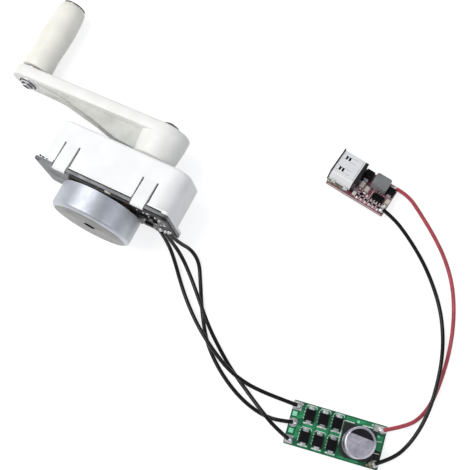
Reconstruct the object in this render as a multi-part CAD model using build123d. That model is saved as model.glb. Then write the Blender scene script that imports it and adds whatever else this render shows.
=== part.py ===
from build123d import *
import math
import os

# Hand crank phone charger, in millimetres.
# The generator is drawn upright, as on a bench: motor cup at the bottom with its axis on Z,
# crank on top, X along the gear housing toward the crank, +Y the back wall.
# It is then laid on its side: the motor axis points along +Y of the part, the back wall faces
# down, and the part stands on the floor at Z = 0. The two circuit boards lie beside it.

# ---- where things lie on the floor ----
UNIT_X = -39.37         # motor axis, across the crank axis
UNIT_Y = -22.09         # outer face of the motor cup
UNIT_TILT = 8.8         # degrees, crank side up: the housing leans on its cup and lower edge
REST_GAP = 0.05         # air under a rounded piece that rests on the floor
RECTIFIER_X = 82.02
RECTIFIER_Y = -48.45
RECTIFIER_TURN = 11.1   # degrees
USB_X = 47.99
USB_Y = 45.9
USB_TURN = -5.3         # degrees
USB_LEAN = 20.0         # degrees, near long edge held up by its stiff wires

# ---- fits ----
RUNNING = 0.03          # radial clearance of a turning fit
PLAY = 0.3              # air between faces that pass each other
BACKLASH = 0.07         # taken off the thickness of every gear tooth

# ---- motor ----
CUP_RADIUS = 17.0
CUP_HEIGHT = 10.5
CUP_WALL = 1.0
CUP_EDGE = 1.8
CUP_BOSS_RADIUS = 3.4
CUP_BOSS_HEIGHT = 1.2
CUP_RECESS_RADIUS = 3.0
CUP_RECESS_DEPTH = 0.4
MAGNET_WALL = 1.5
MAGNET_HEIGHT = 7.4
MAGNET_INSET = 0.6
AIR_GAP = 0.4
STATOR_TEETH = 12
STATOR_HEIGHT = 4.6
STATOR_YOKE_RADIUS = 6.8
STATOR_STEM_WIDTH = 1.6
STATOR_TIP_THICKNESS = 1.1
STATOR_SLOT_OPENING = 1.2
STATOR_FLOOR_GAP = 1.2
WINDING_THICKNESS = 0.75
WINDING_YOKE_GAP = 0.6
WINDING_TIP_GAP = 0.15
MOTOR_SHAFT_RADIUS = 1.5
MOTOR_SHAFT_CHAMFER = 0.3
BEARING_RADIUS = 3.0
BEARING_WIDTH = 2.5
TUBE_RADIUS = 4.3
TUBE_FLANGE_RADIUS = 5.8
TUBE_FLANGE = 0.4
TUBE_FLOOR_GAP = 0.5

# ---- plate and motor board ----
PCB_BOTTOM = 11.9
PCB_THICKNESS = 1.0
PCB_RADIUS = 16.4
PCB_TAB_END = 30.4
PCB_TAB_HALF_WIDTH = 11.6
PCB_TAB_CORNER = 2.0
PCB_PART_HEIGHT = 0.7
# Each part on the motor board: centre along and across the housing, length, width.
PCB_PARTS = ((-9.0, -10.2, 2.0, 1.2), (-4.5, -10.6, 1.6, 0.9), (0.5, -10.4, 2.2, 1.4), (5.0, -10.6, 1.6, 0.9),
             (9.8, -10.2, 2.0, 1.2), (19.4, -4.6, 4.2, 3.0), (24.0, -8.0, 1.6, 0.9), (19.6, 4.4, 3.0, 2.4),
             (24.6, -4.2, 2.0, 1.2), (13.6, -10.3, 1.6, 0.9))
PHASE_PADS = ((25.0, 4.8), (27.3, 4.0), (29.3, 2.6))
PHASE_SOLDER_RADIUS = 1.0
PHASE_SOLDER_HEIGHT = 1.2
PLATE_THICKNESS = 1.2
CORNER_HOLE_RADIUS = 0.8
CORNER_HOLE_INSET = 1.4

# ---- gear housing ----
HOUSING_LEFT = -28.8
HOUSING_RIGHT = 30.2
HOUSING_HALF_WIDTH = 12.0
HOUSING_CORNER = 7.0
HOUSING_HEIGHT = 18.6
HOUSING_WALL = 1.1
HOUSING_ROOF = 1.6
HOUSING_EDGE = 1.1
LIP_WIDTH = 0.6
LIP_CORNER = 1.6
LIP_HEIGHT = 1.1
CLIP_XS = (-17.65, 17.7)
CLIP_WIDTH = 5.6
CLIP_SLOT = 0.8
CLIP_TOP = 24.0
CLIP_BOTTOM = 12.2
CLIP_PROUD = 0.6
CLIP_HOOK = 0.7
CLIP_CORNER = 0.5
CRANK_BOSS_RADIUS = 7.0
CRANK_BOSS_DEPTH = 1.2
RIB_THICKNESS = 1.0
RIB_DEPTH = 3.0
RIB_INSET = 7.0

# ---- gear train: crank gear, two compound idlers, motor pinion ----
PRESSURE_ANGLE = 20.0
COARSE_MODULE = 0.6
FINE_MODULE = 0.5
WHEEL_TEETH = 34
PINION_TEETH = 12
SECOND_WHEEL_TEETH = 27
MOTOR_PINION_TEETH = 11
PROFILE_SHIFT = 0.35
SECOND_WHEEL_FACE = 3.2
FIRST_WHEEL_FACE = 3.4
CRANK_GEAR_FACE = 3.2
WHEEL_LEVEL_GAP = 1.8
SECOND_WHEEL_GAP = 1.3
IDLER_PIN_RADIUS = 1.5
IDLER_HEAD_RADIUS = 2.4
IDLER_HEAD_HEIGHT = 0.5
IDLER_BOSS_RADIUS = 2.8

# ---- crank ----
CRANK_SHAFT_RADIUS = 2.5
CRANK_SPIGOT_RADIUS = 1.5
BUSH_RADIUS = 4.2
BUSH_FLANGE_RADIUS = 6.2
BUSH_FLANGE = 1.0
LOWER_BUSH_RADIUS = 2.6
HUB_GAP = 0.4
HUB_RADIUS = 9.7
HUB_FOOT_RADIUS = 8.8
HUB_HEIGHT = 14.2
HUB_COLLAR = 6.2
ARM_LENGTH = 65.5
ARM_THICKNESS = 5.0
ARM_EYE_RADIUS = 7.4
ARM_GUSSET_DROP = 4.6
ARM_GUSSET_REACH = 50.0
ARM_EDGE = 0.6
SHAFT_FLAT = 0.4
SCREW_HEAD_RADIUS = 3.2
SCREW_HEAD_HEIGHT = 1.9
SCREW_SHANK_RADIUS = 1.25
SCREW_LENGTH = 8.0
SCREW_SHOULDER = 1.6     # arm above the end of the crank shaft
CROSS_SLOT_WIDTH = 0.6

# ---- handle ----
GRIP_RADIUS = 6.1
GRIP_LENGTH = 32.2
GRIP_WAIST = 0.55
GRIP_BASE_ROUND = 0.3
GRIP_TIP_TAPER = 0.25
GRIP_SHOULDER = 2.0
HANDLE_PIN_RADIUS = 2.0
HANDLE_PIN_END = 0.3
HANDLE_HEAD_RADIUS = 3.8
HANDLE_HEAD_HEIGHT = 1.6
HANDLE_HEAD_SINK = 0.9
WASHER_RADIUS = 5.2
WASHER_THICKNESS = 1.0
NUT_FLATS = 6.0
NUT_HEIGHT = 2.2
NUT_RECESS_RADIUS = 4.4
NUT_RECESS_DEPTH = 1.6

# ---- rectifier board ----
RECTIFIER_LENGTH = 37.4
RECTIFIER_WIDTH = 17.2
BOARD_THICKNESS = 1.6
DIODE_FIRST = -11.4
DIODE_PITCH = 5.5
DIODE_COUNT = 3
DIODE_ROW = 4.3
DIODE_LENGTH = 4.6
DIODE_WIDTH = 3.7
DIODE_HEIGHT = 2.2
DIODE_DRAFT = 0.25
DIODE_LEAD = 0.8
DIODE_LEAD_THICKNESS = 0.3
CAN_RADIUS = 6.0
CAN_HEIGHT = 9.6
CAN_X = 8.7
CAN_Y = -0.9
CAN_EDGE = 0.8
CAN_GROOVE = 0.35
CAN_GROOVE_LEVEL = 1.9
CAN_BASE = 12.8
CAN_BASE_CUT = 2.7
CAN_BASE_HEIGHT = 1.3
PAD_X = 17.0
PAD_Y = 6.6
PAD_SOLDER_RADIUS = 1.5
PAD_SOLDER_HEIGHT = 0.9
BOARD_CORNER = 0.5

# ---- step-down board with its socket ----
USB_LENGTH = 26.4
USB_WIDTH = 16.0
SHELL_LENGTH = 10.2
SHELL_WIDTH = 13.1
SHELL_HEIGHT = 5.7
SHELL_WALL = 0.35
SHELL_OVERHANG = 0.6
SHELL_WINDOW_X = 3.4
SHELL_WINDOW_Y = 3.2
SHELL_SLOT_SPREAD = 0.75
SHELL_SLOT_WIDTH = 0.7
SHELL_SLOT_LENGTH = 1.9
SHELL_CORNER = 0.6
TONGUE_WIDTH = 11.2
TONGUE_THICKNESS = 1.9
TONGUE_LENGTH = 8.8
TONGUE_DROP = 0.5
SOCKET_BACK = 1.4
SOCKET_BACK_INSET = 0.2
CONTACT_COUNT = 4
CONTACT_PITCH = 2.2
CONTACT_WIDTH = 1.0
CONTACT_THICKNESS = 0.25
CONTACT_INSET = 1.2
INDUCTOR_SIZE = 6.8
INDUCTOR_HEIGHT = 3.4
INDUCTOR_X = 6.0
INDUCTOR_Y = 3.7
INDUCTOR_CUT = 0.7
BLOCK_HEIGHT = 2.1
BLOCK_EDGE = 0.2
POWER_BLOCKS = ((-0.15, 5.0, 3.6, 4.4), (11.2, 3.4, 3.2, 3.4))    # centre, length, width
CHIP_LENGTH = 4.9
CHIP_WIDTH = 3.4
CHIP_HEIGHT = 1.5
CHIP_X = 8.0
CHIP_Y = -2.7
CHIP_PINS = 4
CHIP_PITCH = 1.27
CHIP_STANDOFF = 0.2
CHIP_EDGE = 0.25
CHIP_PIN_WIDTH = 0.42
CHIP_PIN_LENGTH = 1.0
CERAMIC_LENGTH = 3.2
CERAMIC_WIDTH = 1.7
CERAMIC_HEIGHT = 1.2
CERAMIC_SPOTS = ((-0.2, -0.9), (2.4, -1.8), (12.1, -2.0))
RESISTOR_COUNT = 6
RESISTOR_FIRST = 0.6
RESISTOR_PITCH = 1.9
RESISTOR_Y = -6.3
RESISTOR_LENGTH = 1.7
RESISTOR_WIDTH = 0.9
RESISTOR_HEIGHT = 0.5
USB_PAD_X = 11.9
USB_PAD_Y = 6.4
USB_SOLDER_RADIUS = 1.2
USB_SOLDER_HEIGHT = 0.8

# ---- wires: round, soldered at both ends ----
WIRE_DIAMETER = 1.6
# Routes chosen by hand on the floor, each from its solder to its solder.
PHASE_WIRE_A = (
    (-13.93, -11.04, 16.13), (-11.15, -11.95, 8.8), (-6.55, -15.5, 3), (2.19, -24.9, 0.9),
    (10.39, -32.1, 2.2), (17.99, -37.6, 4.5), (26.09, -42.1, 4.7), (34.49, -45.8, 4.7),
    (42.89, -47.2, 4.4), (50.65, -46.77, 2.3), (57.42, -46.05, 2.5), (63.9, -45.28, 2.5),
)
PHASE_WIRE_B = (
    (-11.78, -11.04, 17.27), (-8.45, -11.8, 9.6), (-3.55, -14, 4.4), (3.09, -19.3, 3.8),
    (10.09, -25.7, 4.7), (18.69, -33.7, 4.7), (26.09, -39.1, 2.4), (33.59, -44, 0.9),
    (40.89, -47.8, 1), (47.69, -51.3, 2.9), (53.46, -54.17, 4.8), (59.82, -56.85, 4.2),
    (66.4, -58.28, 2.4),
)
PHASE_WIRE_C = (
    (-10.02, -11.04, 18.96), (-5.95, -10.95, 11.4), (-1.45, -9.9, 5), (3.35, -12.4, 1.7),
    (7.29, -18.8, 0.9), (11.69, -26.3, 0.9), (15.99, -32.9, 0.9), (20.89, -39.2, 0.9),
    (26.79, -44.3, 0.9), (33.49, -48.6, 0.9), (40.69, -52, 0.9), (47.99, -54.1, 0.9),
    (54.86, -54.67, 1.1), (60.22, -53.75, 2.5), (65.2, -51.78, 2.5),
)
POSITIVE_WIRE = (
    (60.91, 51.6, 2.9), (66.31, 51.4, 2.6), (73.8, 47.3, 1.3), (82.99, 41.2, 0.9),
    (90.99, 34.5, 0.9), (97.79, 26.4, 0.9), (102.69, 17.3, 0.9), (106.19, 7.9, 0.9),
    (108.49, -1.7, 0.9), (109.69, -11.1, 0.9), (110.09, -19.6, 0.9), (108.76, -27.07, 0.9),
    (104.92, -33.05, 2.4), (97.7, -38.48, 2.5),
)
NEGATIVE_WIRE = (
    (59.77, 39.6, 7.35), (65.27, 38.45, 7), (73.85, 34.75, 4.4), (83.49, 29.1, 1.8),
    (91.79, 21.8, 0.9), (98.49, 13.8, 0.9), (103.19, 5.1, 1.8), (106.09, -3.5, 4.2),
    (108.19, -12.3, 4.8), (109.69, -21.7, 4.8), (109.89, -30.8, 4), (108.66, -39.27, 1.7),
    (105.42, -46.45, 2.6), (100.1, -51.48, 2.5),
)

# ---- worked out from the sizes above ----
PCB_TOP = PCB_BOTTOM + PCB_THICKNESS
PLATE_TOP = PCB_TOP + PLATE_THICKNESS
LIP_LEFT = HOUSING_LEFT - LIP_WIDTH
LIP_RIGHT = HOUSING_RIGHT + LIP_WIDTH
LIP_HALF_WIDTH = HOUSING_HALF_WIDTH + LIP_WIDTH
ROOF_TOP = PLATE_TOP + HOUSING_HEIGHT
ROOF_UNDER = ROOF_TOP - HOUSING_ROOF
CRANK_X = FINE_MODULE * (SECOND_WHEEL_TEETH + MOTOR_PINION_TEETH) / 2
IDLER_X = CRANK_X - COARSE_MODULE * (WHEEL_TEETH + PINION_TEETH) / 2
SECOND_WHEEL_Z = PLATE_TOP + SECOND_WHEEL_GAP
FIRST_WHEEL_Z = SECOND_WHEEL_Z + SECOND_WHEEL_FACE + WHEEL_LEVEL_GAP
CRANK_GEAR_Z = FIRST_WHEEL_Z + FIRST_WHEEL_FACE + WHEEL_LEVEL_GAP
BUSH_BOTTOM = CRANK_GEAR_Z + CRANK_GEAR_FACE + PLAY
HUB_BOTTOM = ROOF_TOP + BUSH_FLANGE + HUB_GAP
HUB_TOP = HUB_BOTTOM + HUB_HEIGHT
ARM_BOTTOM = HUB_TOP - ARM_THICKNESS
GRIP_BOTTOM = HUB_TOP + WASHER_THICKNESS + PLAY
GRIP_TOP = GRIP_BOTTOM + GRIP_LENGTH
STATOR_RADIUS = CUP_RADIUS - CUP_WALL - MAGNET_WALL - AIR_GAP
STATOR_BOTTOM = CUP_WALL + CUP_BOSS_HEIGHT + STATOR_FLOOR_GAP
TUBE_BOTTOM = CUP_WALL + CUP_BOSS_HEIGHT + TUBE_FLOOR_GAP

tilt = math.radians(UNIT_TILT)


def lowest_of_lip():
    """How far the lip's lower left corner reaches below the motor axis, unit tilted."""
    corner_x = LIP_LEFT + LIP_CORNER
    corner_y = LIP_HALF_WIDTH - LIP_CORNER
    return -corner_x * math.sin(tilt) + corner_y * math.cos(tilt) + LIP_CORNER


UNIT_HEIGHT = max(CUP_RADIUS, lowest_of_lip()) + REST_GAP
CRANK_HEIGHT = UNIT_HEIGHT + CRANK_X * math.sin(tilt)
ARM_DIP = math.degrees(math.asin((CRANK_HEIGHT - max(GRIP_RADIUS, ARM_EYE_RADIUS) - REST_GAP) / ARM_LENGTH))

LAID_DOWN = Pos(UNIT_X, UNIT_Y, UNIT_HEIGHT) * Rot(0, -UNIT_TILT, 0) * Rot(-90, 0, 0)
ARM_TURN = Pos(CRANK_X, 0, 0) * Rot(0, 0, UNIT_TILT - ARM_DIP) * Pos(-CRANK_X, 0, 0)
ON_RECTIFIER = Pos(RECTIFIER_X, RECTIFIER_Y, 0) * Rot(0, 0, RECTIFIER_TURN)
USB_LIFT = USB_WIDTH / 2 * math.sin(math.radians(USB_LEAN))
ON_USB = Pos(USB_X, USB_Y, USB_LIFT) * Rot(0, 0, USB_TURN) * Rot(-USB_LEAN, 0, 0)

nodes = {}


def keep(name, shapes, place):
    """Put one named sub-part, one or more solids, where it lies in the part."""
    if not isinstance(shapes, (list, tuple)):
        shapes = [shapes]
    solids = []
    for shape in shapes:
        solids.extend((place * shape).solids())
    nodes[name] = solids


# ---- plain shapes ----
def disc(radius, bottom, top, x=0.0, y=0.0):
    """Round bar on Z between two heights."""
    return Pos(x, y, bottom) * Cylinder(radius, top - bottom, align=(Align.CENTER, Align.CENTER, Align.MIN))


def ring(outer, inner, bottom, top, x=0.0, y=0.0):
    """Round tube on Z between two heights."""
    return disc(outer, bottom, top, x, y) - disc(inner, bottom, top, x, y)


def block(length, width, height, x, y, bottom):
    """Box that stands on a height."""
    return Pos(x, y, bottom) * Box(length, width, height, align=(Align.CENTER, Align.CENTER, Align.MIN))


def upright(shape):
    """The edges that run along Z."""
    return shape.edges().filter_by(Axis.Z)


def slab(left, right, half_width, corner, bottom, top):
    """Rounded rectangle between two heights."""
    outline = RectangleRounded(right - left, 2 * half_width, corner)
    return extrude(Pos((left + right) / 2, 0, bottom) * outline, top - bottom)


# ---- gears ----
def involute(angle):
    return math.tan(angle) - angle


def gear_face(teeth, module, shift, bore, first_tooth):
    """Outline of a spur gear: involute flanks, rounded tips and roots, one tooth at first_tooth."""
    pressure = math.radians(PRESSURE_ANGLE)
    pitch = module * teeth / 2
    base = pitch * math.cos(pressure)
    tip = pitch + module * (1 + shift)
    root = pitch - module * (1.25 - shift)
    thickness = module * (math.pi / 2 + 2 * shift * math.tan(pressure)) - BACKLASH
    half_pitch = thickness / (2 * pitch) + involute(pressure)
    flank_foot = max(base, root)

    def half_angle(radius):
        return half_pitch - involute(math.acos(min(1.0, base / radius)))

    def spot(radius, angle):
        return (radius * math.cos(angle), radius * math.sin(angle))

    middle = (flank_foot + tip) / 2
    edges = []
    step = 2 * math.pi / teeth
    for number in range(teeth):
        centre = math.radians(first_tooth) + number * step
        foot = half_angle(flank_foot)
        start = spot(flank_foot, centre - foot)
        end = spot(flank_foot, centre + foot)
        rise = ThreePointArc(start, spot(middle, centre - half_angle(middle)),
                             spot(tip, centre - half_angle(tip)))
        crest = ThreePointArc(rise @ 1, spot(tip, centre), spot(tip, centre + half_angle(tip)))
        fall = ThreePointArc(crest @ 1, spot(middle, centre + half_angle(middle)), end)
        after = spot(flank_foot, centre + step - foot)
        valley = ThreePointArc(end, spot(root, centre + step / 2), after)
        edges.extend([rise, crest, fall, valley])
    return make_face(edges) - Circle(bore)


def gear(teeth, module, shift, bore, first_tooth, bottom, face, x):
    return extrude(Pos(x, 0, bottom) * gear_face(teeth, module, shift, bore, first_tooth), face)


def crank_gear():
    return gear(WHEEL_TEETH, COARSE_MODULE, -PROFILE_SHIFT, CRANK_SHAFT_RADIUS, 180.0,
                CRANK_GEAR_Z, CRANK_GEAR_FACE, CRANK_X)


def first_idler():
    """Pinion driven by the crank gear, with the wheel that drives the second idler."""
    bore = IDLER_PIN_RADIUS + RUNNING
    pinion_bottom = FIRST_WHEEL_Z + FIRST_WHEEL_FACE
    pinion = gear(PINION_TEETH, COARSE_MODULE, PROFILE_SHIFT, bore, 180.0 / PINION_TEETH,
                  pinion_bottom, BUSH_BOTTOM - pinion_bottom, IDLER_X)
    wheel = gear(WHEEL_TEETH, COARSE_MODULE, -PROFILE_SHIFT, bore, 0.0,
                 FIRST_WHEEL_Z, FIRST_WHEEL_FACE, IDLER_X)
    return wheel + pinion


def second_idler():
    """Turns freely on the crank shaft's thin end."""
    bore = CRANK_SPIGOT_RADIUS + RUNNING
    wheel = gear(SECOND_WHEEL_TEETH, FINE_MODULE, -PROFILE_SHIFT, bore, 180.0,
                 SECOND_WHEEL_Z, SECOND_WHEEL_FACE, CRANK_X)
    pinion_bottom = SECOND_WHEEL_Z + SECOND_WHEEL_FACE
    pinion = gear(PINION_TEETH, COARSE_MODULE, PROFILE_SHIFT, bore, 180.0 + 180.0 / PINION_TEETH,
                  pinion_bottom, FIRST_WHEEL_Z + FIRST_WHEEL_FACE - pinion_bottom, CRANK_X)
    return wheel + pinion


def motor_pinion():
    return gear(MOTOR_PINION_TEETH, FINE_MODULE, PROFILE_SHIFT, MOTOR_SHAFT_RADIUS,
                180.0 / MOTOR_PINION_TEETH, SECOND_WHEEL_Z - PLAY,
                SECOND_WHEEL_FACE + 2 * PLAY, 0.0)


# ---- motor ----
def rotor_cup():
    """Pressed cup that turns round the stator, its rim toward the plate."""
    outside = disc(CUP_RADIUS, 0, CUP_HEIGHT)
    outside = fillet(outside.edges().sort_by(Axis.Z)[0], CUP_EDGE)
    inside = disc(CUP_RADIUS - CUP_WALL, CUP_WALL, CUP_HEIGHT)
    inside = fillet(inside.edges().sort_by(Axis.Z)[0], CUP_EDGE - CUP_WALL / 2)
    cup = outside - inside + disc(CUP_BOSS_RADIUS, CUP_WALL / 2, CUP_WALL + CUP_BOSS_HEIGHT)
    cup -= disc(MOTOR_SHAFT_RADIUS, 0, CUP_WALL + CUP_BOSS_HEIGHT)
    return cup - disc(CUP_RECESS_RADIUS, 0, CUP_RECESS_DEPTH)


def rotor_magnet():
    outer = CUP_RADIUS - CUP_WALL
    bottom = CUP_HEIGHT - MAGNET_INSET - MAGNET_HEIGHT
    return ring(outer, outer - MAGNET_WALL, bottom, bottom + MAGNET_HEIGHT)


def rotor_shaft():
    shaft_top = SECOND_WHEEL_Z + SECOND_WHEEL_FACE + 2 * PLAY
    shaft = disc(MOTOR_SHAFT_RADIUS, CUP_RECESS_DEPTH + MOTOR_SHAFT_CHAMFER, shaft_top)
    return chamfer(shaft.edges().sort_by(Axis.Z)[-1], MOTOR_SHAFT_CHAMFER)


def stator_core():
    """Laminated star: a yoke, stems, and curved tips that face the magnets."""
    top = STATOR_BOTTOM + STATOR_HEIGHT
    core = disc(STATOR_YOKE_RADIUS, STATOR_BOTTOM, top)
    stem_length = STATOR_RADIUS - STATOR_TIP_THICKNESS / 2 - STATOR_YOKE_RADIUS / 2
    tips = ring(STATOR_RADIUS, STATOR_RADIUS - STATOR_TIP_THICKNESS, STATOR_BOTTOM, top)
    for number in range(STATOR_TEETH):
        turn = Rot(0, 0, number * 360 / STATOR_TEETH)
        half_turn = Rot(0, 0, (number + 0.5) * 360 / STATOR_TEETH)
        stem = block(stem_length, STATOR_STEM_WIDTH, STATOR_HEIGHT,
                     STATOR_YOKE_RADIUS / 2 + stem_length / 2, 0, STATOR_BOTTOM)
        core += turn * stem
        tips -= half_turn * block(4 * STATOR_TIP_THICKNESS, STATOR_SLOT_OPENING, STATOR_HEIGHT,
                                  STATOR_RADIUS, 0, STATOR_BOTTOM)
    return core + tips - disc(TUBE_RADIUS, STATOR_BOTTOM, top)


def stator_windings():
    """One coil round each stem, between the yoke and the tip."""
    inner = STATOR_YOKE_RADIUS + WINDING_YOKE_GAP
    outer = STATOR_RADIUS - STATOR_TIP_THICKNESS - WINDING_TIP_GAP
    length = outer - inner
    middle = (outer + inner) / 2
    wide = block(length, STATOR_STEM_WIDTH + 2 * WINDING_THICKNESS, STATOR_HEIGHT + 2 * WINDING_THICKNESS,
                 middle, 0, STATOR_BOTTOM - WINDING_THICKNESS)
    wide = fillet(wide.edges().filter_by(Axis.X), WINDING_THICKNESS * 0.8)
    coil = wide - block(length, STATOR_STEM_WIDTH, STATOR_HEIGHT, middle, 0, STATOR_BOTTOM)
    return [Rot(0, 0, number * 360 / STATOR_TEETH) * coil for number in range(STATOR_TEETH)]


def bearing_tube():
    """Flanged brass tube through the plate: carries stator, board and both bearings."""
    tube = disc(TUBE_RADIUS, TUBE_BOTTOM, PLATE_TOP)
    tube += disc(TUBE_FLANGE_RADIUS, PLATE_TOP, PLATE_TOP + TUBE_FLANGE)
    return tube - disc(BEARING_RADIUS, TUBE_BOTTOM, PLATE_TOP + TUBE_FLANGE)


def motor_bearings():
    bearings = []
    for bottom in (TUBE_BOTTOM, PLATE_TOP + TUBE_FLANGE - BEARING_WIDTH):
        bearings.append(ring(BEARING_RADIUS, MOTOR_SHAFT_RADIUS + RUNNING, bottom, bottom + BEARING_WIDTH))
    return bearings


# ---- plate and motor board ----
def clip_gaps(half_width, reach, bottom, top):
    """The four places beside the long walls that the clips pass through."""
    gaps = []
    for x in CLIP_XS:
        for side in (-1, 1):
            gaps.append(block(CLIP_WIDTH + 2 * PLAY, 2 * reach, top - bottom, x, side * half_width, bottom))
    return gaps


def corner_holes(bottom, top):
    """Two small fixing holes in opposite corners, outside the housing's rounded walls."""
    x = LIP_RIGHT - CORNER_HOLE_INSET
    y = LIP_HALF_WIDTH - CORNER_HOLE_INSET
    left_x = LIP_LEFT + CORNER_HOLE_INSET
    return [disc(CORNER_HOLE_RADIUS, bottom, top, x, y), disc(CORNER_HOLE_RADIUS, bottom, top, left_x, -y)]


def base_plate():
    """Steel plate under the housing, notched where the clips pass."""
    plate = slab(LIP_LEFT, LIP_RIGHT, LIP_HALF_WIDTH, LIP_CORNER, PCB_TOP, PLATE_TOP)
    plate -= disc(TUBE_RADIUS, PCB_TOP, PLATE_TOP)
    plate -= disc(LOWER_BUSH_RADIUS, PCB_TOP, PLATE_TOP, CRANK_X)
    for cut in clip_gaps(LIP_HALF_WIDTH, HOUSING_WALL + LIP_WIDTH + PLAY, PCB_TOP, PLATE_TOP):
        plate -= cut
    for hole in corner_holes(PCB_TOP, PLATE_TOP):
        plate -= hole
    return plate


def motor_pcb():
    """Round board under the plate, with a tab out to where the phase wires are soldered."""
    tab_start = PCB_RADIUS / 2
    board = disc(PCB_RADIUS, PCB_BOTTOM, PCB_TOP)
    board += slab(tab_start, PCB_TAB_END, PCB_TAB_HALF_WIDTH, PCB_TAB_CORNER, PCB_BOTTOM, PCB_TOP)
    board -= disc(TUBE_RADIUS, PCB_BOTTOM, PCB_TOP)
    board &= block(2 * PCB_TAB_END, 2 * PCB_TAB_HALF_WIDTH, PCB_THICKNESS, 0, 0, PCB_BOTTOM)
    for gap in clip_gaps(HOUSING_HALF_WIDTH, HOUSING_WALL + CLIP_HOOK + PLAY, PCB_BOTTOM, PCB_TOP):
        board -= gap
    return board


def motor_pcb_parts():
    """Chips and resistors on the board's cup side."""
    bottom = PCB_BOTTOM - PCB_PART_HEIGHT
    return [block(length, width, PCB_PART_HEIGHT, x, y, bottom) for x, y, length, width in PCB_PARTS]


def phase_solder():
    return [solder(PHASE_SOLDER_RADIUS, PHASE_SOLDER_HEIGHT, x, y, PCB_BOTTOM, -1) for x, y in PHASE_PADS]


def solder(radius, height, x, y, level, up=1):
    """Domed heap of solder on a pad: the cap of a ball."""
    ball = (radius ** 2 + height ** 2) / (2 * height)
    heap = Pos(0, 0, height - ball) * Sphere(ball)
    heap &= block(2 * ball, 2 * ball, height, 0, 0, 0)
    if up < 0:
        heap = Rot(180, 0, 0) * heap
    return Pos(x, y, level) * heap


def crank_bushes():
    """Flanged bush in the roof and a small one in the plate."""
    upper = disc(BUSH_RADIUS, BUSH_BOTTOM, ROOF_TOP)
    upper += disc(BUSH_FLANGE_RADIUS, ROOF_TOP, ROOF_TOP + BUSH_FLANGE)
    upper -= disc(CRANK_SHAFT_RADIUS + RUNNING, BUSH_BOTTOM, ROOF_TOP + BUSH_FLANGE)
    lower = ring(LOWER_BUSH_RADIUS, CRANK_SPIGOT_RADIUS + RUNNING, PCB_TOP, SECOND_WHEEL_Z - PLAY)
    return [Pos(CRANK_X, 0, 0) * upper, Pos(CRANK_X, 0, 0) * lower]


def idler_pin():
    """Pressed into a boss under the roof, with a head that keeps the first idler on."""
    head_top = FIRST_WHEEL_Z - PLAY
    head = disc(IDLER_HEAD_RADIUS, head_top - IDLER_HEAD_HEIGHT, head_top, IDLER_X)
    return head + disc(IDLER_PIN_RADIUS, head_top, ROOF_UNDER, IDLER_X)


def housing_walls(inset, bottom, top):
    """The housing's rounded outline, drawn in by inset, between two heights."""
    return slab(HOUSING_LEFT + inset, HOUSING_RIGHT - inset, HOUSING_HALF_WIDTH - inset,
                HOUSING_CORNER - inset, bottom, top)


def gear_housing():
    """Moulded cover: roof, rounded walls, square lip, four snap clips, inner ribs and bosses."""
    shell = housing_walls(0, PLATE_TOP, ROOF_TOP)
    shell = fillet(shell.edges().group_by(Axis.Z)[-1], HOUSING_EDGE)
    shell += slab(LIP_LEFT, LIP_RIGHT, LIP_HALF_WIDTH, LIP_CORNER, PLATE_TOP, PLATE_TOP + LIP_HEIGHT)
    shell -= housing_walls(HOUSING_WALL, PLATE_TOP, ROOF_UNDER)
    for hole in corner_holes(PLATE_TOP, PLATE_TOP + LIP_HEIGHT):
        shell -= hole
    shell += disc(CRANK_BOSS_RADIUS, ROOF_UNDER - CRANK_BOSS_DEPTH, ROOF_UNDER, CRANK_X)
    shell -= disc(BUSH_RADIUS, BUSH_BOTTOM, ROOF_TOP, CRANK_X)
    boss_bottom = BUSH_BOTTOM + PLAY
    shell += ring(IDLER_BOSS_RADIUS, IDLER_PIN_RADIUS, boss_bottom, ROOF_UNDER, IDLER_X)
    shell += inner_ribs()
    for x in CLIP_XS:
        for side in (-1, 1):
            shell = add_clip(shell, x, side)
    return shell


def inner_ribs():
    """Cross ribs under the roof that stiffen the two empty ends."""
    width = 2 * HOUSING_HALF_WIDTH - HOUSING_WALL
    ends = (HOUSING_LEFT + RIB_INSET, HOUSING_RIGHT - RIB_INSET)
    return [block(RIB_THICKNESS, width, RIB_DEPTH, x, 0, ROOF_UNDER - RIB_DEPTH) for x in ends]


def add_clip(shell, x, side):
    """One snap clip: two slots in the long wall, and a tongue that hooks under the plate."""
    wall_middle = side * (HOUSING_HALF_WIDTH - HOUSING_WALL / 2)
    for edge in (-1, 1):
        slot_x = x + edge * (CLIP_WIDTH + CLIP_SLOT) / 2
        shell -= block(CLIP_SLOT, 2 * HOUSING_WALL + 2 * LIP_WIDTH, CLIP_TOP - PLATE_TOP, slot_x,
                       wall_middle, PLATE_TOP)
    inner = HOUSING_HALF_WIDTH - HOUSING_WALL
    outer = HOUSING_HALF_WIDTH + CLIP_PROUD
    profile = Polyline((HOUSING_HALF_WIDTH, CLIP_TOP), (outer, PLATE_TOP + LIP_HEIGHT),
                       (outer, CLIP_BOTTOM + CLIP_CORNER), (outer - CLIP_CORNER, CLIP_BOTTOM),
                       (inner, CLIP_BOTTOM),
                       (inner - CLIP_HOOK, PCB_TOP - PLAY / 2), (inner, PCB_TOP - PLAY / 2),
                       (inner, CLIP_TOP), close=True)
    face = Plane.YZ * make_face(profile)
    tongue = extrude(Pos(x - CLIP_WIDTH / 2, 0, 0) * face, CLIP_WIDTH)
    if side < 0:
        tongue = tongue.mirror(Plane.XZ)
    return shell + tongue


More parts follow.
